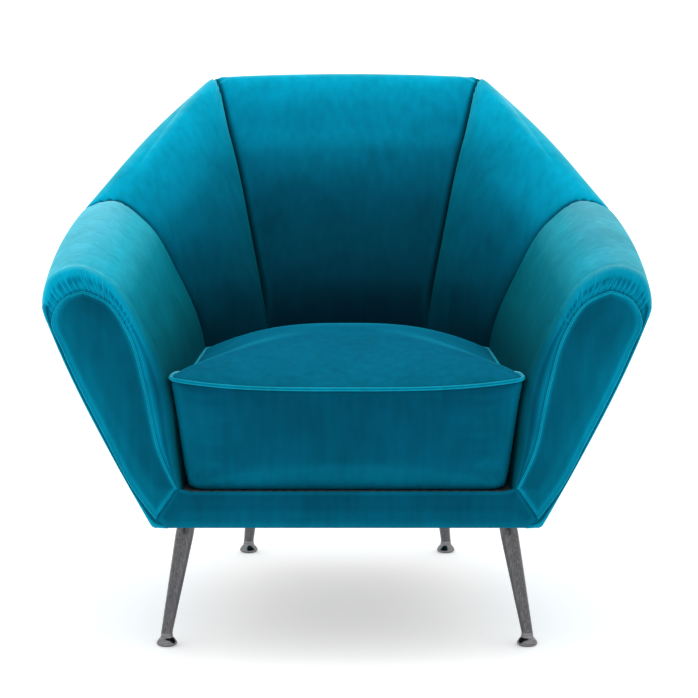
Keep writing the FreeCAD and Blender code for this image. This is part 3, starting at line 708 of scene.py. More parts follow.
def wing_relief(seed):
    """Puckers at the back seam's top and at the outer end of the arm seam."""
    rng = random.Random(seed)
    arm_arc = arc_from(wing_seam.place(wing_seam.ring()), CREST_AT)[None, :]
    back_arc = arc_from(back_seam.place(back_seam.ring()), CREST_AT)[None, :]

    def relief(from_arm, from_back):
        top = puckers(rng, -back_arc, from_back, TOP_PUCKERS, 0.0030, 0.022, 0.9)
        outer = puckers(rng, arm_arc, from_arm, (0.0, 0.014), 0.0022, 0.02, 0.7)
        return top + outer

    return relief


WING_SEEDS = {"left": 21, "right": 22}
for side, sign in SIDES:
    rings = channel_rings(wing_seam, back_seam, WING_PUFF, WING_MIDDLE_ROWS,
                          wing_relief(WING_SEEDS[side]), WING_LEAN)
    rings = rings * [sign, 1.0, 1.0]
    # Wings wear the lighter channel copy: painted light, with painted depth shade.
    wing = skin(side + "_wing_padding", rings, lit_channel_velvet, depth=painted_shell_shade(rings))
    record(wing, "shell", "velvet", side + "_wing_cover", side + "_wing_foam", fill=0.9)
print("wing rings:", rings.shape)

# %% [markdown]
# The back is the widest channel. It is ruled between its two seams like a wing,
# with a little less swell, and its top edge dips slightly between the seams.

# %% Back rings
BACK_PUFF = 0.008
BACK_CROWN = BACK_TOP - back_seam.crest_z
BACK_SAG_SHARE = 0.15        # how much of the crown the middle of the top gives up
BACK_SEED = 31
BACK_MIDDLE_ROWS = 70


def back_rings(seed):
    """Rings of the back, from the sitter's right seam to the left one."""
    rng = random.Random(seed)
    arc = arc_from(back_seam.place(back_seam.ring()), CREST_AT)[None, :]

    def relief(from_right, from_left):
        right = puckers(rng, -arc, from_right, TOP_PUCKERS[:2], 0.0028, 0.022, -0.8)
        left = puckers(rng, -arc, from_left, TOP_PUCKERS[:2], 0.0028, 0.022, -0.8)
        return right + left

    rings = channel_rings(mirror_back_seam, back_seam, BACK_PUFF, BACK_MIDDLE_ROWS, relief)
    across = rings[..., 0] / np.abs(rings[..., 0]).max(axis=0)
    high = smooth_step(rings[..., 2], back_seam.crest_z - 0.15, back_seam.crest_z)
    rings[..., 2] -= BACK_CROWN * high * (1 - across ** 2) * BACK_SAG_SHARE
    return rings


rings = back_rings(BACK_SEED)
# The back wears the lighter channel copy: painted light, with painted depth shade.
back_padding = skin("back_padding", rings, lit_channel_velvet, depth=painted_shell_shade(rings))
record(back_padding, "shell", "velvet", "back_cover", "back_foam", fill=0.9)
print("back top:", round(max(v.co.z for v in back_padding.data.vertices), 4))

# %% [markdown]
# ## Outside panels
# The outside of the shell is velvet over thin board, closed by hand along the
# ridge. Each panel is a slim closed form: it swells a little away from the
# frame, and its edges roll in to the seams. The arm's panel also turns round the
# front as a narrow lip that ends under the facing's welt.

# %% Outside panel rings
PANEL_T = 0.005
PANEL_SWELL = 0.0075
PANEL_ROLL = 0.0038
PANEL_ROLL_WIDTH = 0.010
LIP_ROWS = 12
LIP_TURN = 0.009
LIP_SWELL = 0.0065
TIP_TUCK = 0.0165            # how far the lip's lowest corner turns in under the facing
LOW_ROLL = 0.25              # share of the roll left at the bottom edge
PANEL_ROWS = 64
PANEL_COLUMNS = 60


def facing_outer_x(z):
    """Where the facing's outer edge lies at a height, and the tip under it."""
    line = facing_outer[np.argsort(facing_outer[:, 1])]
    tip = TIP_TUCK * (1 - smooth_step(z, UNDERSIDE + 0.004, UNDERSIDE + 0.017))
    return np.interp(z, line[:, 1], line[:, 0]) - tip


TIP = (0.2758, 0.2165)
outer_bends = [facing_bends[7], facing_bends[8], (0.3445, 0.3320), (0.3090, 0.2620), TIP]
facing_outer = through(outer_bends, (16, 30, 20, 16))


def panel_rings(first, second, lip=False):
    """Rings of an outside panel from the bottom to the ridge."""
    v = np.concatenate([EDGE_ROWS[:7] / 0.33, np.linspace(0, 1, PANEL_ROWS)[3:-3],
                        1 - EDGE_ROWS[6::-1] / 0.33])
    z1 = UNDERSIDE + v * (first.ridge_z - UNDERSIDE)
    z2 = UNDERSIDE + v * (second.ridge_z - UNDERSIDE)
    p1 = first.place(np.stack([first.outer_u(z1), z1], 1))[:, None]
    p2 = second.place(np.stack([second.outer_u(z2), z2], 1))[:, None]
    face = np.cross(p2[-1, 0] - p1[0, 0], p1[-1, 0] - p2[0, 0])
    face /= np.linalg.norm(face)
    if np.dot(face, (p1[0, 0] + p2[-1, 0]) * [1, 1, 0]) < 0:
        face = -face
    length = np.linalg.norm(p2 - p1, axis=2).T
    s = shares_between(length.mean() * np.ones(1), EDGE_ROWS[:7], EDGE_ROWS[:7],
                       PANEL_COLUMNS)[:, 0]
    if lip:
        s = np.concatenate([[LIP_TURN / length.mean()], s[s > 1.5 * LIP_TURN / length.mean()]])
    s = s[None, :]
    height = (v * (first.ridge_z - UNDERSIDE))[:, None]
    below_ridge = ((1 - v) * (first.ridge_z - UNDERSIDE))[:, None]
    upright = np.sin(np.pi * v[:, None] ** 1.35) ** 0.8
    swell = PANEL_SWELL * upright * (1 if lip else np.sin(np.pi * s) ** 0.6)
    if lip:
        swell = swell * (1 - smooth_step(s, 0.4, 1.0))
    rolled = roll_in(height, PANEL_ROLL_WIDTH) + roll_in(below_ridge, PANEL_ROLL_WIDTH)
    rolled = rolled + roll_in((1 - s) * length.T, PANEL_ROLL_WIDTH)
    if not lip:
        rolled = rolled + roll_in(s * length.T, PANEL_ROLL_WIDTH)
    full_roll = LOW_ROLL + (1 - LOW_ROLL) * smooth_step(height, 0.05, 0.12)
    rise = swell - PANEL_ROLL * np.clip(rolled, 0, 1) * full_roll
    outer = p1 + (p2 - p1) * s[..., None] + face * rise[..., None]
    inner = (p1 + (p2 - p1) * s[..., None] - face * PANEL_T)[:, ::-1]
    if not lip:
        return np.concatenate([outer, inner], axis=1)
    turn = np.linspace(0, np.pi / 2, LIP_ROWS)[:-1][None, :]
    start_x = facing_outer_x(z1)[:, None]
    x = start_x + (outer[:, :1, 0] - start_x) * np.sin(turn)
    y = FACING_SEAM_Y + (outer[:, :1, 1] - FACING_SEAM_Y) * (1 - np.cos(turn))
    y = y - LIP_SWELL * np.sin(2 * turn) * (1 - roll_in(height, PANEL_ROLL_WIDTH))
    z = z1[:, None] + (outer[:, :1, 2] - z1[:, None]) * np.sin(turn)
    return np.concatenate([np.stack([x, y, z], -1), outer, inner], axis=1)


panels = []
for side, sign in SIDES:
    flip = [sign, 1.0, 1.0]
    panels.append((side + "_outside_arm", panel_rings(arm_front_seam, wing_seam, True) * flip))
    panels.append((side + "_outside_wing", panel_rings(wing_seam, back_seam) * flip))
panels.append(("outside_back", panel_rings(back_seam, mirror_back_seam)))
for name, rings in panels:
    record(skin(name, rings, velvet), "shell", "velvet", name + "_panel")
print("outside panels:", len(panels))

# %% [markdown]
# ## Facings and front rail
# A facing is a shaped board, padded and covered, pressed over the gathered front
# of the arm. The front rail wears a strip of the same make, mitred against both
# facings. Both are flat forms that crown towards their middle, so one function
# makes them: the crown at a point depends on how far it is from the edge.

# %% Crowned pads on the front plane
PAD_BACK_Y = ARM_FRONT - 0.0004


def crowned_pad(name, low, high, rows, edge_y, crown, edge_width, material):
    """Closed pad between two lines on the front plane, crowned towards the sitter's feet."""
    k = np.linspace(0, 1, rows)
    k = (0.5 - 0.5 * np.cos(np.pi * k))[:, None, None]
    flat = low[None] + (high - low)[None] * k
    rim = np.concatenate([flat[0], flat[:, -1], flat[-1, ::-1], flat[::-1, 0]])
    away = np.linalg.norm(flat[:, :, None] - rim[None, None], axis=3).min(axis=2)
    rise = crown * (1 - roll_in(away, edge_width))
    rise = rise + 0.25 * crown * smooth_step(away, edge_width * 0.6, edge_width * 2.4)
    front = np.stack([flat[..., 0], edge_y - rise, flat[..., 1]], -1)
    back = np.stack([flat[..., 0], np.full(away.shape, PAD_BACK_Y), flat[..., 1]], -1)
    columns = flat.shape[1]
    points = np.concatenate([front.reshape(-1, 3), back.reshape(-1, 3)])
    index = np.arange(rows * columns).reshape(rows, columns)
    under = index + rows * columns
    faces = []
    for grid in (index, under[:, ::-1]):
        quads = [grid[:-1, :-1], grid[1:, :-1], grid[1:, 1:], grid[:-1, 1:]]
        faces += np.stack(quads, -1).reshape(-1, 4).tolist()
    loop = np.concatenate([index[0], index[1:, -1], index[-1, -2::-1], index[-2:0:-1, 0]])
    for a, b in zip(loop, np.roll(loop, -1)):
        faces.append([int(a), int(b), int(b) + rows * columns, int(a) + rows * columns])
    return finish_mesh(name, points, faces, material, 60)


facing_inner = through(facing_bends[:6], (10, 30, 20, 16, 14))
facing_peak_out = through(facing_bends[5:7] + outer_bends, (12, 10, 12, 24, 14, 12))
print("facing edges:", len(facing_inner), len(facing_peak_out))


def resampled(line, count):
    """The same line with evenly spaced points."""
    along = arc_from(line, 0)
    even = np.linspace(0, along[-1], count)
    return np.stack([np.interp(even, along, line[:, i]) for i in range(line.shape[1])], 1)


inner_line = resampled(facing_inner, 100)
outer_line = resampled(facing_peak_out, 100)[::-1]
for side, sign in SIDES:
    facing = crowned_pad(side + "_facing_pad", inner_line * [sign, 1], outer_line * [sign, 1],
                         rows=26, edge_y=ARM_FRONT - 0.0035, crown=0.0055,
                         edge_width=0.012, material=velvet)
    record(facing, "shell", "velvet", side + "_arm_facing", fill=0.8)

RAIL_LOW_HALF = 0.2766
RAIL_HIGH_HALF = 0.2474
rail_share = np.linspace(-1, 1, 161)
rail_low_x = rail_share * RAIL_LOW_HALF
rail_tip = smooth_step(np.abs(rail_low_x), 0.2566, RAIL_LOW_HALF) ** 1.5
rail_low_z = UNDERSIDE + 0.0015 + 0.0135 * rail_tip
rail_high_x = rail_share * RAIL_HIGH_HALF
rail_high_z = BASE_TOP + 0.0015 + 0.0045 * smooth_step(np.abs(rail_high_x), 0.222, RAIL_HIGH_HALF)
# The rail takes the darker seat copy of the velvet: painted shade under the cushion.
front_rail_pad = crowned_pad("front_rail_pad", np.stack([rail_low_x, rail_low_z], 1),
                             np.stack([rail_high_x, rail_high_z], 1), rows=22,
                             edge_y=ARM_FRONT - 0.003, crown=0.0065, edge_width=0.014,
                             material=shaded_seat_velvet)
record(front_rail_pad, "shell", "velvet", "front_rail_cover", fill=0.8)

# %% [markdown]
# ## Welts, as Geometry Nodes
# A welt is a cord wrapped in a bias strip of the velvet and sewn into a seam. It
# is a tube along the seam's path, so a small tree makes it: path in, tube out.
# The path is a mesh of edges, which the tree turns into a curve.

# %% Geometry Nodes helpers
def new_tree(name, inputs):
    """A geometry tree with a path in, named number inputs and a geometry out."""
    tree = bpy.data.node_groups.new(name, "GeometryNodeTree")
    face = tree.interface
    face.new_socket("Geometry", in_out="INPUT", socket_type="NodeSocketGeometry")
    for label, kind in inputs.items():
        face.new_socket(label, in_out="INPUT", socket_type=kind)
    face.new_socket("Geometry", in_out="OUTPUT", socket_type="NodeSocketGeometry")
    start = add(tree, "NodeGroupInput")
    return tree, start


def close_tree(tree, geometry, material_socket):
    """Every tree ends the same way: real geometry, with its material."""
    real = add(tree, "GeometryNodeRealizeInstances", {"Geometry": geometry})
    smooth = add(tree, "GeometryNodeSetShadeSmooth", {"Geometry": real.outputs["Geometry"]})
    painted = add(tree, "GeometryNodeSetMaterial", {"Geometry": smooth.outputs["Geometry"],
                                                    "Material": material_socket})
    add(tree, "NodeGroupOutput", {"Geometry": painted.outputs["Geometry"]})


def path_object(name, points, closed=False, up=None):
    """A line of edges, with an up direction at each point for what stands on it."""
    count = len(points)
    edges = [(i, i + 1) for i in range(count - 1)] + ([(count - 1, 0)] if closed else [])
    mesh = bpy.data.meshes.new(name)
    mesh.from_pydata(np.asarray(points).tolist(), edges, [])
    if up is not None:
        layer = mesh.attributes.new("up", "FLOAT_VECTOR", "POINT")
        layer.data.foreach_set("vector", np.asarray(up, np.float32).ravel())
    path = bpy.data.objects.new(name, mesh)
    bpy.context.scene.collection.objects.link(path)
    return path


def evaluated_mesh(piece):
    """A plain copy of the mesh as its modifiers leave it."""
    bpy.context.view_layer.update()
    graph = bpy.context.evaluated_depsgraph_get()
    return bpy.data.meshes.new_from_object(piece.evaluated_get(graph), depsgraph=graph)


def swap_mesh(piece, mesh):
    """Drop the modifiers and keep a mesh in place of the old one."""
    piece.modifiers.clear()
    old = piece.data
    piece.data = mesh
    bpy.data.meshes.remove(old)
    mesh.name = piece.name


def grow(path, tree, values, material):
    """Run a tree on a path and keep its result as a plain mesh of the same name."""
    modifier = path.modifiers.new("grow", "NODES")
    modifier.node_group = tree
    for item in tree.interface.items_tree:
        if item.item_type == "SOCKET" and item.in_out == "INPUT" and item.name in values:
            modifier[item.identifier] = values[item.name]
    swap_mesh(path, evaluated_mesh(path))
    if not path.data.materials:
        path.data.materials.append(material)
    return path


def even_path(tree, start, spacing_label):
    """The path as a curve, with its points at an even spacing."""
    curve = add(tree, "GeometryNodeMeshToCurve", {"Mesh": start.outputs["Geometry"]})
    return add(tree, "GeometryNodeResampleCurve", {"Curve": curve.outputs["Curve"],
                                                   "Length": start.outputs[spacing_label]},
               mode="LENGTH").outputs["Curve"]


welt_tree, start = new_tree("welt along a path", {"Radius": "NodeSocketFloat",
                                                  "Spacing": "NodeSocketFloat",
                                                  "Material": "NodeSocketMaterial"})
circle = add(welt_tree, "GeometryNodeCurvePrimitiveCircle", {"Radius": start.outputs["Radius"],
                                                             "Resolution": 12})
tube = add(welt_tree, "GeometryNodeCurveToMesh", {"Curve": even_path(welt_tree, start, "Spacing"),
                                                  "Profile Curve": circle.outputs["Curve"],
                                                  "Fill Caps": True})
close_tree(welt_tree, tube.outputs["Mesh"], start.outputs["Material"])


def make_welt(name, points, radius, body, closed=False):
    """One welt that rides on a body."""
    path = path_object(name, points, closed)
    # The welt wears the lighter copy: a painted highlight along its seam.
    grow(path, welt_tree, {"Radius": radius, "Spacing": 0.0025, "Material": lit_welt_velvet},
         lit_welt_velvet)
    record(path, body, "velvet")


# %% [markdown]
# Each facing is edged with a fine welt that runs from its tip, over the arm and
# back to the tip. It stands just proud of the pad, as a sewn cord does.

# %% Facing welts
FACING_WELT_R = 0.0019
for side, sign in SIDES:
    line = resampled(np.concatenate([facing_inner, facing_peak_out[1:]]), 240)
    points = np.stack([line[:, 0] * sign, np.full(240, ARM_FRONT - 0.0062), line[:, 1]], 1)
    make_welt(side + "_facing_welt", points, FACING_WELT_R, "shell")

# %% [markdown]
# ## Seat cushion
# The cushion is a boxed foam block in a velvet bag, with a welt round its top
# panel. The stuffing pushes the panels out between the seams, and the seams hold
# them back. A short cloth simulation does just that: the seam lines are pinned,
# pressure fills the bag, and a cap keeps the panels clear of the arms.

# %% Cushion outline from the frame
CUSHION = "seat_cushion_cover"
cushion_low, cushion_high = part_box(CUSHION)
CUSHION_EDGE = 0.407         # height of the top seam in the CAD bag
AROUND = 480


def plan_outline(node, level):
    """Corners of a convex CAD piece's outline near a height, going round."""
    points = np.array([v.co for v in nodes[node].data.vertices])
    near = points[np.abs(points[:, 2] - level) < 0.0015][:, :2]
    work = bmesh.new()
    for x, y in np.unique(np.round(near, 4), axis=0):
        work.verts.new((x, y, 0.0))
    hull = bmesh.ops.convex_hull(work, input=work.verts)
    inside = set(hull["geom_interior"] + hull["geom_unused"])
    rim = np.array([v.co[:2] for v in work.verts if v not in inside])
    work.free()
    centre = rim.mean(axis=0)
    turn = np.arctan2(rim[:, 1] - centre[1], rim[:, 0] - centre[0])
    return rim[np.argsort(turn)]


def rounded_outline(corners, centre, soften):
    """The outline seen from its centre at even turns, with its corners softened."""
    turns = np.linspace(-np.pi, np.pi, AROUND, endpoint=False)
    rays = np.stack([np.cos(turns), np.sin(turns)], 1)
    reach = np.full(AROUND, np.inf)
    for a, b in zip(corners, np.roll(corners, -1, 0)):
        side = b - a
        normal = np.array([side[1], -side[0]])
        toward = rays @ normal
        distance = np.divide(np.dot(a - centre, normal), toward,
                             out=np.full(AROUND, np.inf), where=toward > 1e-9)
        reach = np.minimum(reach, distance)
    line = centre + rays * reach[:, None]
    span = int(round(soften * AROUND))
    window = np.hanning(2 * span + 3)[1:-1]
    window /= window.sum()
    wrapped = np.concatenate([line[-span:], line, line[:span]])
    return np.stack([np.convolve(wrapped[:, i], window, "valid") for i in range(2)], 1)


cushion_centre = np.array([0.0, (cushion_low.y + cushion_high.y) / 2])
top_outline = rounded_outline(plan_outline(CUSHION, CUSHION_EDGE), cushion_centre, 0.006)
foot_outline = rounded_outline(plan_outline(CUSHION, cushion_low.z), cushion_centre, 0.014)
print("cushion across:", np.ptp(top_outline[:, 0]).round(4), np.ptp(foot_outline[:, 0]).round(4))

# %% [markdown]
# The top seam is not level. The bag's corners are held up by their own stiffness
# and by the arms, and the middle of the front edge sags under the crown. So the
# seam's height changes with its place, and everything near the top follows it.

# %% Cushion start shape
FRONT_CORNER_LIFT = 0.012
FRONT_SAG = 0.003
REAR_LIFT = -0.020
START_CROWN = 0.048
FOOT_ROUND = 0.012


def seam_lift(x, y):
    """How far the top seam is above its CAD height."""
    front = 1 - smooth_step(y, cushion_low.y + 0.02, cushion_low.y + 0.30)
    corner = np.abs(x / cushion_high.x) ** 3.2
    edge = FRONT_CORNER_LIFT * corner - FRONT_SAG * (1 - corner)
    return front * edge + REAR_LIFT * (1 - front)


def cushion_rings(shrink):
    """Rings of the bag: under panel, boxing up to the seam, then the crowned top."""
    rings = []

    def ring(outline, scale, z):
        flat = cushion_centre + (outline - cushion_centre) * scale
        rings.append(np.column_stack([flat, np.broadcast_to(z, AROUND)]))

    floor_z = cushion_low.z + 0.0004
    radius = np.linalg.norm(top_outline - cushion_centre, axis=1).min()
    for scale in np.linspace(0.03, 0.9, 12):
        ring(foot_outline, scale, floor_z)
    for turn in np.linspace(0, np.pi / 2, 7):
        inset = FOOT_ROUND * (1 - math.sin(turn)) / radius
        ring(foot_outline, 1 - inset - shrink, floor_z + FOOT_ROUND * (1 - math.cos(turn)))
    edge_z = CUSHION_EDGE + seam_lift(top_outline[:, 0], top_outline[:, 1])
    for share in np.linspace(0.1, 1, 24):
        outline = foot_outline + (top_outline - foot_outline) * share ** 0.85
        start_z = floor_z + FOOT_ROUND
        ring(outline, 1 - shrink * (1 - share ** 6), start_z + (edge_z - start_z) * share)
    for share in np.linspace(0.03, 0.97, 34):
        rise = START_CROWN * (1 - (1 - share) ** 2.1)
        edge_share = (1 - share) ** 2
        top_z = edge_z * edge_share + (CUSHION_EDGE + 0.001) * (1 - edge_share)
        ring(top_outline, 1 - share, top_z + rise)
    return np.array(rings)


start_rings = cushion_rings(0.010)
edge_line = np.column_stack([top_outline, CUSHION_EDGE + seam_lift(*top_outline.T)])
print("cushion start top:", start_rings[..., 2].max().round(4))

# %% [markdown]
# ## Let the pressure fill the bag
# The start shape is remeshed into even small squares, because cloth stretches
# evenly only on an even mesh. Gravity is off: the bag is filled, not hung.

# %% Cushion simulation
VOXEL = 0.006
PRESSURE = 4.0
SIM_FRAMES = 20
SEAM_HOLD = 0.007            # cloth this close to a seam line is pinned
FLOOR_HOLD_Z = 0.256         # and so is the cloth below this height
CAP_TOP = 0.014
CAP_FRONT = 0.009
CAP_SIDE = 0.0015


def nearest_distance(points, line):
    """Distance from each point to the nearest point of a line."""
    best = np.full(len(points), np.inf)
    for start in range(0, len(line), 40):
        gaps = points[:, None] - line[None, start:start + 40]
        best = np.minimum(best, np.linalg.norm(gaps, axis=2).min(axis=1))
    return best


def vertex_array(mesh):
    """Vertex places of a mesh as rows of x, y, z."""
    flat = np.empty(len(mesh.vertices) * 3)
    mesh.vertices.foreach_get("co", flat)
    return flat.reshape(-1, 3)


def fill_with_pressure(piece, held):
    """Run the cloth modifier with pressure and return the moved vertices."""
    group = piece.vertex_groups.new(name="held")
    group.add([int(i) for i in np.flatnonzero(held)], 1.0, "REPLACE")
    cloth = piece.modifiers.new("fill", "CLOTH")
    settings = cloth.settings
    settings.quality = 5
    settings.mass = 0.3
    settings.tension_stiffness = 12
    settings.compression_stiffness = 12
    settings.shear_stiffness = 6
    settings.bending_stiffness = 0.8
    settings.use_pressure = True
    settings.uniform_pressure_force = PRESSURE
    settings.vertex_group_mass = "held"
    settings.effector_weights.gravity = 0.0
    cloth.collision_settings.use_collision = False
    cloth.collision_settings.use_self_collision = False
    cloth.point_cache.frame_end = SIM_FRAMES
    scene = bpy.context.scene
    for frame_number in range(1, SIM_FRAMES + 1):
        scene.frame_set(frame_number)
    moved = vertex_array(evaluated_mesh(piece))
    piece.modifiers.remove(cloth)
    scene.frame_set(1)
    return moved


# The cushion wears the darker seat copy of the velvet: painted shade.
seat_cushion = skin("seat_cushion_bag", start_rings, shaded_seat_velvet, None)
remesh = seat_cushion.modifiers.new("even", "REMESH")
remesh.mode = "VOXEL"
remesh.voxel_size = VOXEL
swap_mesh(seat_cushion, evaluated_mesh(seat_cushion))
rest = vertex_array(seat_cushion.data)
front_corner = np.argmax(top_outline[:, 0] - top_outline[:, 1])
corner_top, corner_foot = top_outline[front_corner], foot_outline[front_corner]
corner_line = np.array([[*(corner_foot + (corner_top - corner_foot) * s),
                         cushion_low.z + (CUSHION_EDGE - cushion_low.z) * s]
                        for s in np.linspace(0, 1, 60)])
side_lines = np.concatenate([corner_line, corner_line * [-1, 1, 1]])
to_edge = nearest_distance(rest, edge_line)
to_corner = nearest_distance(rest, side_lines)
held = (to_edge < SEAM_HOLD) | (to_corner < SEAM_HOLD) | (rest[:, 2] < FLOOR_HOLD_Z)
moved = fill_with_pressure(seat_cushion, held)
shift = moved - rest
print("cushion simulated, vertices:", len(rest), "largest move:", np.abs(shift).max().round(4))

# %% [markdown]
# The simulation is free to swell as far as it likes, and the cap then keeps each
# panel to what its neighbours leave room for: the top rises most, the front a
# little, and the sides hardly, because the arms are 3 mm away.

# %% Cap the swell, then crease the seams
CREASE_DEPTH = 0.0028
CREASE_WIDTH = 0.0065
CORNER_CREASE = 0.0015
CORNER_WIDTH = 0.004
CREASE_TOWARD_Z = 0.36       # creases draw in towards this height in the bag's middle


def capped(shift, rest):
    """The simulated movement, held to what each panel may swell."""
    on_top = smooth_step(rest[:, 2], CUSHION_EDGE - 0.002, CUSHION_EDGE + 0.012)
    on_front = smooth_step(-rest[:, 1], -cushion_low.y - 0.03, -cushion_low.y - 0.012)
    on_front = on_front * (1 - on_top)
    length = np.linalg.norm(shift, axis=1)
    cap = CAP_TOP * on_top + CAP_FRONT * on_front + CAP_SIDE * (1 - on_top) * (1 - on_front)
    scale = np.minimum(1.0, cap / np.maximum(length, 1e-9))
    return shift * scale[:, None]


places = rest + capped(shift, rest)
inward = np.column_stack([cushion_centre - places[:, :2], CREASE_TOWARD_Z - places[:, 2]])
inward /= np.linalg.norm(inward, axis=1)[:, None]
places += inward * (CREASE_DEPTH * dent(to_edge, CREASE_WIDTH))[:, None]
places += inward * (CORNER_CREASE * dent(to_corner, CORNER_WIDTH))[:, None]
places[:, 2] = np.maximum(places[:, 2], cushion_low.z + 0.0002)
places[:, 1] = np.minimum(places[:, 1], cushion_high.y - 0.0002)
seat_cushion.data.vertices.foreach_set("co", places.ravel())
finer = seat_cushion.modifiers.new("finer", "SUBSURF")
finer.levels = finer.render_levels = 1
swap_mesh(seat_cushion, evaluated_mesh(seat_cushion))
seat_cushion.data.shade_smooth()
seat_cushion.data.materials.clear()
seat_cushion.data.materials.append(shaded_seat_velvet)
record(seat_cushion, "seat_cushion", "velvet", "seat_cushion_cover", "seat_cushion_foam",
       fill=0.85)
low, high = vertex_array(seat_cushion.data).min(0), vertex_array(seat_cushion.data).max(0)
print("cushion now:", low.round(4), high.round(4), "faces:", len(seat_cushion.data.polygons))

# %% [markdown]
# The cushion's welt runs all the way round the top seam. It covers the line where
# the crown meets the boxing, and so takes the pinned seam line as its path.

# %% Cushion welt
CUSHION_WELT_R = 0.0028
outward = top_outline - cushion_centre
outward /= np.linalg.norm(outward, axis=1)[:, None]
welt_line = edge_line.copy()
welt_line[:, :2] -= outward * 0.0012
make_welt("seat_cushion_welt", welt_line, CUSHION_WELT_R, "seat_cushion", closed=True)

# %% [markdown]
# ## Small things along a path
# Stitches, staples and zip teeth are all one small thing repeated at a fixed
# pitch, turned to follow the line and to stand on the surface. One tree does it
# for all of them: the path carries an up direction at each of its points.

# %% Repeat tree
repeat_tree, start = new_tree("small things along a path", {"Pitch": "NodeSocketFloat",
                                                            "Thing": "NodeSocketObject",
                                                            "Material": "NodeSocketMaterial"})
along = add(repeat_tree, "GeometryNodeInputTangent")
upward = add(repeat_tree, "GeometryNodeInputNamedAttribute", {"Name": "up"},
             data_type="FLOAT_VECTOR")
to_line = add(repeat_tree, "FunctionNodeAlignRotationToVector",
              {"Vector": along.outputs["Tangent"]}, axis="X")
to_face = add(repeat_tree, "FunctionNodeAlignRotationToVector",
              {"Rotation": to_line.outputs["Rotation"], "Vector": upward.outputs["Attribute"]},
              axis="Z", pivot_axis="X")
thing = add(repeat_tree, "GeometryNodeObjectInfo", {"Object": start.outputs["Thing"]})
placed = add(repeat_tree, "GeometryNodeInstanceOnPoints",
             {"Points": even_path(repeat_tree, start, "Pitch"), "Instance": thing.outputs["Geometry"],
              "Rotation": to_face.outputs["Rotation"]})
close_tree(repeat_tree, placed.outputs["Instances"], start.outputs["Material"])


def small_thing(name, sections):
    """A little closed form through rectangles of (x, half width, low, high)."""
    rings = [[(x, -w, low), (x, w, low), (x, w, high), (x, -w, high)]
             for x, w, low, high in sections]
    return skin(name, rings, thread, 30)


stitch = small_thing("stitch", [(-0.0021, 0.0001, -0.0003, 0.0), (-0.0015, 0.0004, -0.0003, 0.0004),
                                (0.0015, 0.0004, -0.0003, 0.0004), (0.0021, 0.0001, -0.0003, 0.0)])
staple = small_thing("staple", [(-0.0060, 0.0004, -0.0030, 0.0003), (-0.0056, 0.0005, -0.0030, 0.0007),
                                (-0.0051, 0.0005, -0.0002, 0.0007), (0.0051, 0.0005, -0.0002, 0.0007),
                                (0.0056, 0.0005, -0.0030, 0.0007), (0.0060, 0.0004, -0.0030, 0.0003)])
tooth = small_thing("tooth", [(-0.00055, 0.0016, 0.0, 0.0006), (-0.0004, 0.0020, 0.0, 0.0011),
                              (0.0004, 0.0020, 0.0, 0.0011), (0.00055, 0.0016, 0.0, 0.0006)])


def repeat_along(name, points, up, pitch, thing, material, body, record_slot):
    """Copies of a small thing along a line, as one mesh that rides on a body."""
    path = path_object(name, points, up=up)
    grow(path, repeat_tree, {"Pitch": pitch, "Thing": thing, "Material": material}, material)
    record(path, body, record_slot)


# %% [markdown]
# ## Dust cloth and deck cloth
# Two flat cloths close the base. The dust cloth is stapled under the rails and
# sags a little in its middle. The deck cloth lies over the springs, under the
# cushion, and is drawn tight to the rails.

# %% Flat cloths
CLOTH_ROWS = 44
CLOTH_COLUMNS = 44


def half_widths(corners, ys):
    """Half the width of an outline at each depth."""
    reach = np.zeros(len(ys))
    for a, b in zip(corners, np.roll(corners, -1, 0)):
        low, high = sorted((a, b), key=lambda p: p[1])
        inside = (ys >= low[1] - 1e-9) & (ys <= high[1] + 1e-9)
        if high[1] - low[1] > 1e-6:
            x = np.interp(ys, (low[1], high[1]), (low[0], high[0]))
        else:
            x = np.full(len(ys), max(a[0], b[0]))
        reach = np.where(inside, np.maximum(reach, x), reach)
    return reach


def flat_cloth(name, node, level, thickness, sag, material):
    """A sheet with a CAD cloth's outline, sagging between its fixed edges."""
    corners = plan_outline(node, level)
    ys = np.linspace(corners[:, 1].min(), corners[:, 1].max(), CLOTH_ROWS)
    reach = half_widths(corners, ys)
    across = np.linspace(-1, 1, CLOTH_COLUMNS)
    flat = np.stack([reach[:, None] * across, np.repeat(ys[:, None], CLOTH_COLUMNS, 1)], -1)
    deep = np.sin(np.pi * np.linspace(0, 1, CLOTH_ROWS))[:, None] ** 1.5
    drop = sag * deep * np.cos(np.pi / 2 * across)[None, :] ** 1.5
    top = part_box(node)[1].z
    upper = np.concatenate([flat, (top - drop)[..., None]], -1)
    lower = np.concatenate([flat, (top - thickness - drop)[..., None]], -1)
    rings = np.concatenate([upper, lower[:, ::-1]], axis=1)
    piece = skin(name, rings, material, 40)
    step = ys[1] - ys[0]
    area = float(((reach[1:] + reach[:-1]) * step).sum())
    size = (float(2 * reach.max()), float(ys[-1] - ys[0]))
    print(name, "flat size", np.round(size, 3), "area", round(area, 3))
    return piece, size, area, corners


dust, dust_size, dust_area, dust_rim = flat_cloth("dust_cloth", "dust_cover", UNDERSIDE, 0.0010,
                                                  0.004, dust_cloth)
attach(dust, "shell")
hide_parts("dust_cover")
deck, deck_size, deck_area, _ = flat_cloth("deck_cloth_sheet", "deck_cloth",
                                           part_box("deck_cloth")[0].z, 0.0012, 0.003, deck_weave)
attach(deck, "shell")
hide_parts("deck_cloth")

# %% [markdown]
# Wire staples hold the dust cloth's edge to the rails, a few centimetres apart.
# They follow the cloth's own outline, drawn in from its edge.

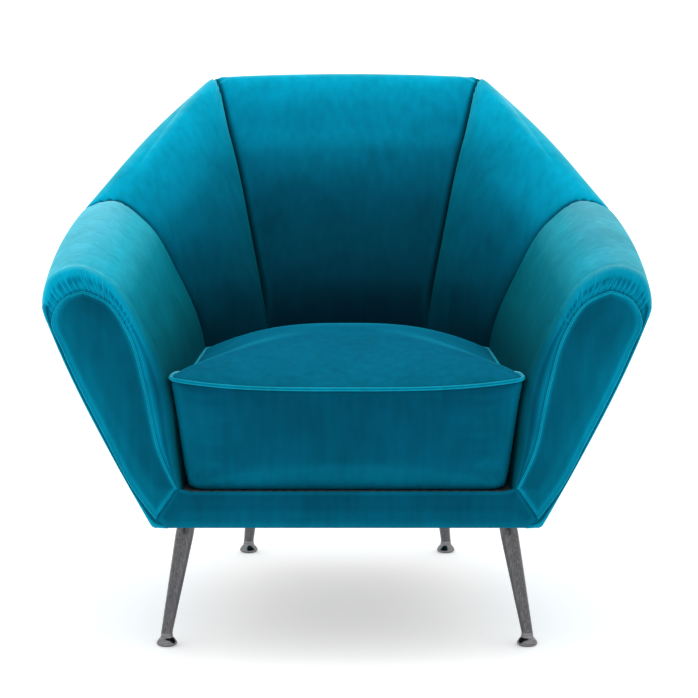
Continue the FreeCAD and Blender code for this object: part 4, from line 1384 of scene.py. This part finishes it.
# %% Staples round the dust cloth
STAPLE_PITCH = 0.038
STAPLE_INSET = 0.012
middle = dust_rim.mean(axis=0)
ring = np.concatenate([dust_rim, dust_rim[:1]])
reach = np.linalg.norm(ring - middle, axis=1)[:, None]
staple_line = resampled(middle + (ring - middle) * (1 - STAPLE_INSET / reach), 300)
staple_points = np.column_stack([staple_line, np.full(300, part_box("dust_cover")[1].z - 0.0010)])
repeat_along("dust_cloth_staples", staple_points, np.tile([0.0, 0.0, -1.0], (300, 1)),
             STAPLE_PITCH, staple, wire_metal, "shell", "screw_steel")

# %% [markdown]
# ## Hand closing stitches
# The outside panels go on last and are closed by hand with a curved needle. The
# slip stitches sit down in the seams and show as short thread ends.

# %% Seam stitches on the outside
STITCH_PITCH = 0.011
for side, sign in SIDES:
    for label, seam in (("arm", wing_seam), ("wing", back_seam)):
        heights = np.linspace(UNDERSIDE + 0.012, seam.ridge_z - 0.012, 120)
        line = seam.place(np.stack([seam.outer_u(heights) - PANEL_ROLL + 0.0006, heights], 1))
        line = line * np.array([sign, 1.0, 1.0])
        up = np.tile([*(seam.way * [sign, 1.0]), -0.3], (120, 1))
        repeat_along(side + "_" + label + "_seam_stitches", line, up, STITCH_PITCH, stitch,
                     thread, "shell", "velvet")

# %% [markdown]
# ## Zip
# The cushion's cover comes off through a zip in the rear boxing: two woven
# tapes, a row of brass teeth and a slider with a pull. The slider runs the
# zip's whole length, so the tapes and teeth stay flat and clear of it.

# %% Zip tapes and teeth
zip_low, zip_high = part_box("cushion_zip")
ZIP_MIDDLE = (zip_low.z + zip_high.z) / 2
TAPE_GAP = 0.0022
TOOTH_PITCH = 0.0021


def flat_bar(name, low, high, material, edge=0.0004):
    """A closed bar with eased long edges."""
    (x0, y0, z0), (x1, y1, z1) = low, high
    rings = []
    for x, inset in ((x0, edge), (x0 + edge, 0.0), (x1 - edge, 0.0), (x1, edge)):
        rings.append([(x, y0, z0), (x, y1 - edge, z0 + inset), (x, y1, z0 + edge + inset),
                      (x, y1, z1 - edge - inset), (x, y1 - edge, z1 - inset), (x, y0, z1)])
    return skin(name, rings, material, 40)


tape_top = zip_low.y + 0.0008
for name, low_z, high_z in (("zip_tape_upper", ZIP_MIDDLE + TAPE_GAP / 2, zip_high.z),
                            ("zip_tape_lower", zip_low.z, ZIP_MIDDLE - TAPE_GAP / 2)):
    tape = flat_bar(name, (zip_low.x, zip_low.y - 0.0002, low_z), (zip_high.x, tape_top, high_z),
                    tape_weave)
    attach(tape, "seat_cushion")
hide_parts("cushion_zip")
teeth_x = np.linspace(zip_low.x + 0.003, zip_high.x - 0.003, 40)
teeth_line = np.column_stack([teeth_x, np.full(40, zip_low.y), np.full(40, ZIP_MIDDLE)])
repeat_along("zip_teeth", teeth_line, np.tile([0.0, 1.0, 0.0], (40, 1)), TOOTH_PITCH, tooth,
             zip_metal, "seat_cushion", "zip_metal")

# %% [markdown]
# The slider is a small cast body with a bridge on top, and a flat pull with an eye
# that hangs from the bridge. The three parts are joined, as they move as one.

# %% Zip slider
slider_low, slider_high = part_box("zip_slider")
slider_x = (slider_low.x + slider_high.x) / 2


def rounded_plate(outline, y_low, y_high, ease):
    """Rings of a plate with an (x, z) outline and eased faces."""
    outline = np.asarray(outline)
    centre = outline.mean(axis=0)
    rings = []
    for y, shrink in ((y_low, 0.0), (y_high - ease, 0.0), (y_high, ease)):
        reach = np.linalg.norm(outline - centre, axis=1)[:, None]
        flat = centre + (outline - centre) * (1 - shrink / reach)
        rings.append(np.column_stack([flat[:, 0], np.full(len(flat), y), flat[:, 1]]))
    return rings


def oval(cx, cz, half_x, half_z, power=3.0, count=32):
    """A rounded rectangle's outline."""
    turn = np.linspace(0, 2 * np.pi, count, endpoint=False)
    c, s = np.cos(turn), np.sin(turn)
    x = cx + half_x * np.sign(c) * np.abs(c) ** (2 / power)
    z = cz + half_z * np.sign(s) * np.abs(s) ** (2 / power)
    return np.stack([x, z], 1)


body_z = slider_high.z - 0.0055
body_rings = rounded_plate(oval(slider_x, body_z, 0.0045, 0.0055), slider_low.y,
                           slider_low.y + 0.0020, 0.0005)
bridge_rings = rounded_plate(oval(slider_x, body_z, 0.0012, 0.0036), slider_low.y + 0.0019,
                             slider_high.y - 0.0002, 0.0004)
body_part = skin("slider_part_body", body_rings, zip_metal, 40)
bridge_part = skin("slider_part_bridge", bridge_rings, zip_metal, 40)
pull_z = slider_low.z + 0.0085
outer_oval = oval(slider_x, pull_z, 0.0025, 0.0085)
inner_oval = oval(slider_x, pull_z + 0.0052, 0.0013, 0.0022)
pull_rings = []
for y, source in ((0.0024, inner_oval), (0.0024, outer_oval),
                  (0.0033, outer_oval), (0.0033, inner_oval)):
    pull_y = np.full(len(source), slider_low.y + y)
    pull_rings.append(np.column_stack([source[:, 0], pull_y, source[:, 1]]))
pull_part = finish_mesh("slider_part_pull", np.concatenate(pull_rings),
                        ring_quads(len(pull_rings), len(outer_oval), True), zip_metal, 40)


def joined(name, parts):
    """Several parts as one mesh."""
    points, faces, count = [], [], 0
    for part in parts:
        points.append(vertex_array(part.data))
        faces += [[count + i for i in face.vertices] for face in part.data.polygons]
        count += len(part.data.vertices)
    piece = finish_mesh(name, np.concatenate(points), faces, parts[0].data.materials[0], 40)
    for part in parts:
        bpy.data.objects.remove(part)
    return piece


slider = joined("zip_slider_with_pull", [body_part, bridge_part, pull_part])
record(slider, "zip_slider", "zip_metal", "zip_slider")
for thing in (stitch, staple, tooth):
    bpy.data.objects.remove(thing)

# %% [markdown]
# ## The frame keeps its CAD shapes
# Rails, posts, boards, straps, springs, screws and legs are right as they are in
# the CAD. They only take on their finishes.

# %% Finishes for the CAD pieces
FINISHES = (
    ("seat_springs", wire_metal), ("spring_clips", wire_metal), ("leg_screws", screw_metal),
    ("leg_plates", leg_metal), ("foot_pads", pad_plastic), ("back_webbing", jute),
    ("_board", board), ("_leg", leg_metal), ("_foot", foot_metal),
    ("rail", timber), ("post", timber), ("corner_blocks", timber),
)
kept = 0
for name, node in nodes.items():
    if node.hide_render:
        continue
    finish = next(material for part, material in FINISHES if part in name)
    for slot in node.material_slots:
        slot.material = finish
    kept += 1
print("CAD pieces shown with a new finish:", kept)

# %% [markdown]
# ## Camera and light
# The camera stands well back and looks a little down through a long lens, so
# that the chair keeps its true proportions. The light is a plain white studio: an
# even white surround from every side, and one weak soft box overhead.

# %% Camera
CAMERA_PLACE = (0.003, -3.855, 0.980)
CAMERA_DOWN = 8.5            # degrees below level
CAMERA_LENS = 125.85
camera_data = bpy.data.cameras.new("view")
camera_data.sensor_width = 36.0
camera_data.lens = CAMERA_LENS
camera = bpy.data.objects.new("view", camera_data)
camera.location = CAMERA_PLACE
camera.rotation_euler = (math.radians(90 - CAMERA_DOWN), 0.0, 0.0)
bpy.context.scene.collection.objects.link(camera)
bpy.context.scene.camera = camera

# %% [markdown]
# An even surround lights soft cloth without hard shadows, which keeps the form
# readable in the folds. The soft box adds only enough to shade the ground.

# %% Studio light
SURROUND_GLOW = 1.1
bpy.context.scene.view_settings.view_transform = "Standard"
world = bpy.data.worlds.new("studio")
bpy.context.scene.world = world
world.use_nodes = True
sky = world.node_tree
sky.nodes.clear()
glow = add(sky, "ShaderNodeBackground", {"Color": (1, 1, 1, 1), "Strength": SURROUND_GLOW})
add(sky, "ShaderNodeOutputWorld", {"Surface": glow.outputs["Background"]})


def soft_box(name, place, aim, size, power):
    """A rectangular soft light that points at a place."""
    data = bpy.data.lights.new(name, "AREA")
    data.shape = "RECTANGLE"
    data.size, data.size_y = size
    data.energy = power
    lamp = bpy.data.objects.new(name, data)
    lamp.location = place
    down = np.array(aim) - np.array(place)
    level = math.hypot(down[0], down[1])
    lamp.rotation_euler = (math.atan2(level, -down[2]), 0.0, math.atan2(-down[0], down[1]))
    bpy.context.scene.collection.objects.link(lamp)


soft_box("overhead", (0.0, 0.0, 2.6), (0.0, 0.1, 0.4), (2.4, 1.6), 8)

# %% [markdown]
# ## Floor
# The chair stands on matt white paper that runs on past the edge of the view. The
# paper glows faintly, to stand in for the light a studio throws back at it, so the
# ground comes out nearly white with a soft shadow under the chair.

# %% Floor
FLOOR_REACH = 40.0
FLOOR_GLOW = 0.34
floor_material, floor_tree, floor_shader, _ = new_material("floor_paper_matt_white")
plug(floor_tree, floor_shader, {"Base Color": (0.92, 0.92, 0.92, 1), "Roughness": 0.9,
                                "Emission Color": (1, 1, 1, 1), "Emission Strength": FLOOR_GLOW})
corners = [(-1, -1, 0), (1, -1, 0), (1, 1, 0), (-1, 1, 0)]
floor = finish_mesh("floor", np.multiply(corners, FLOOR_REACH), [[0, 1, 2, 3]], floor_material)
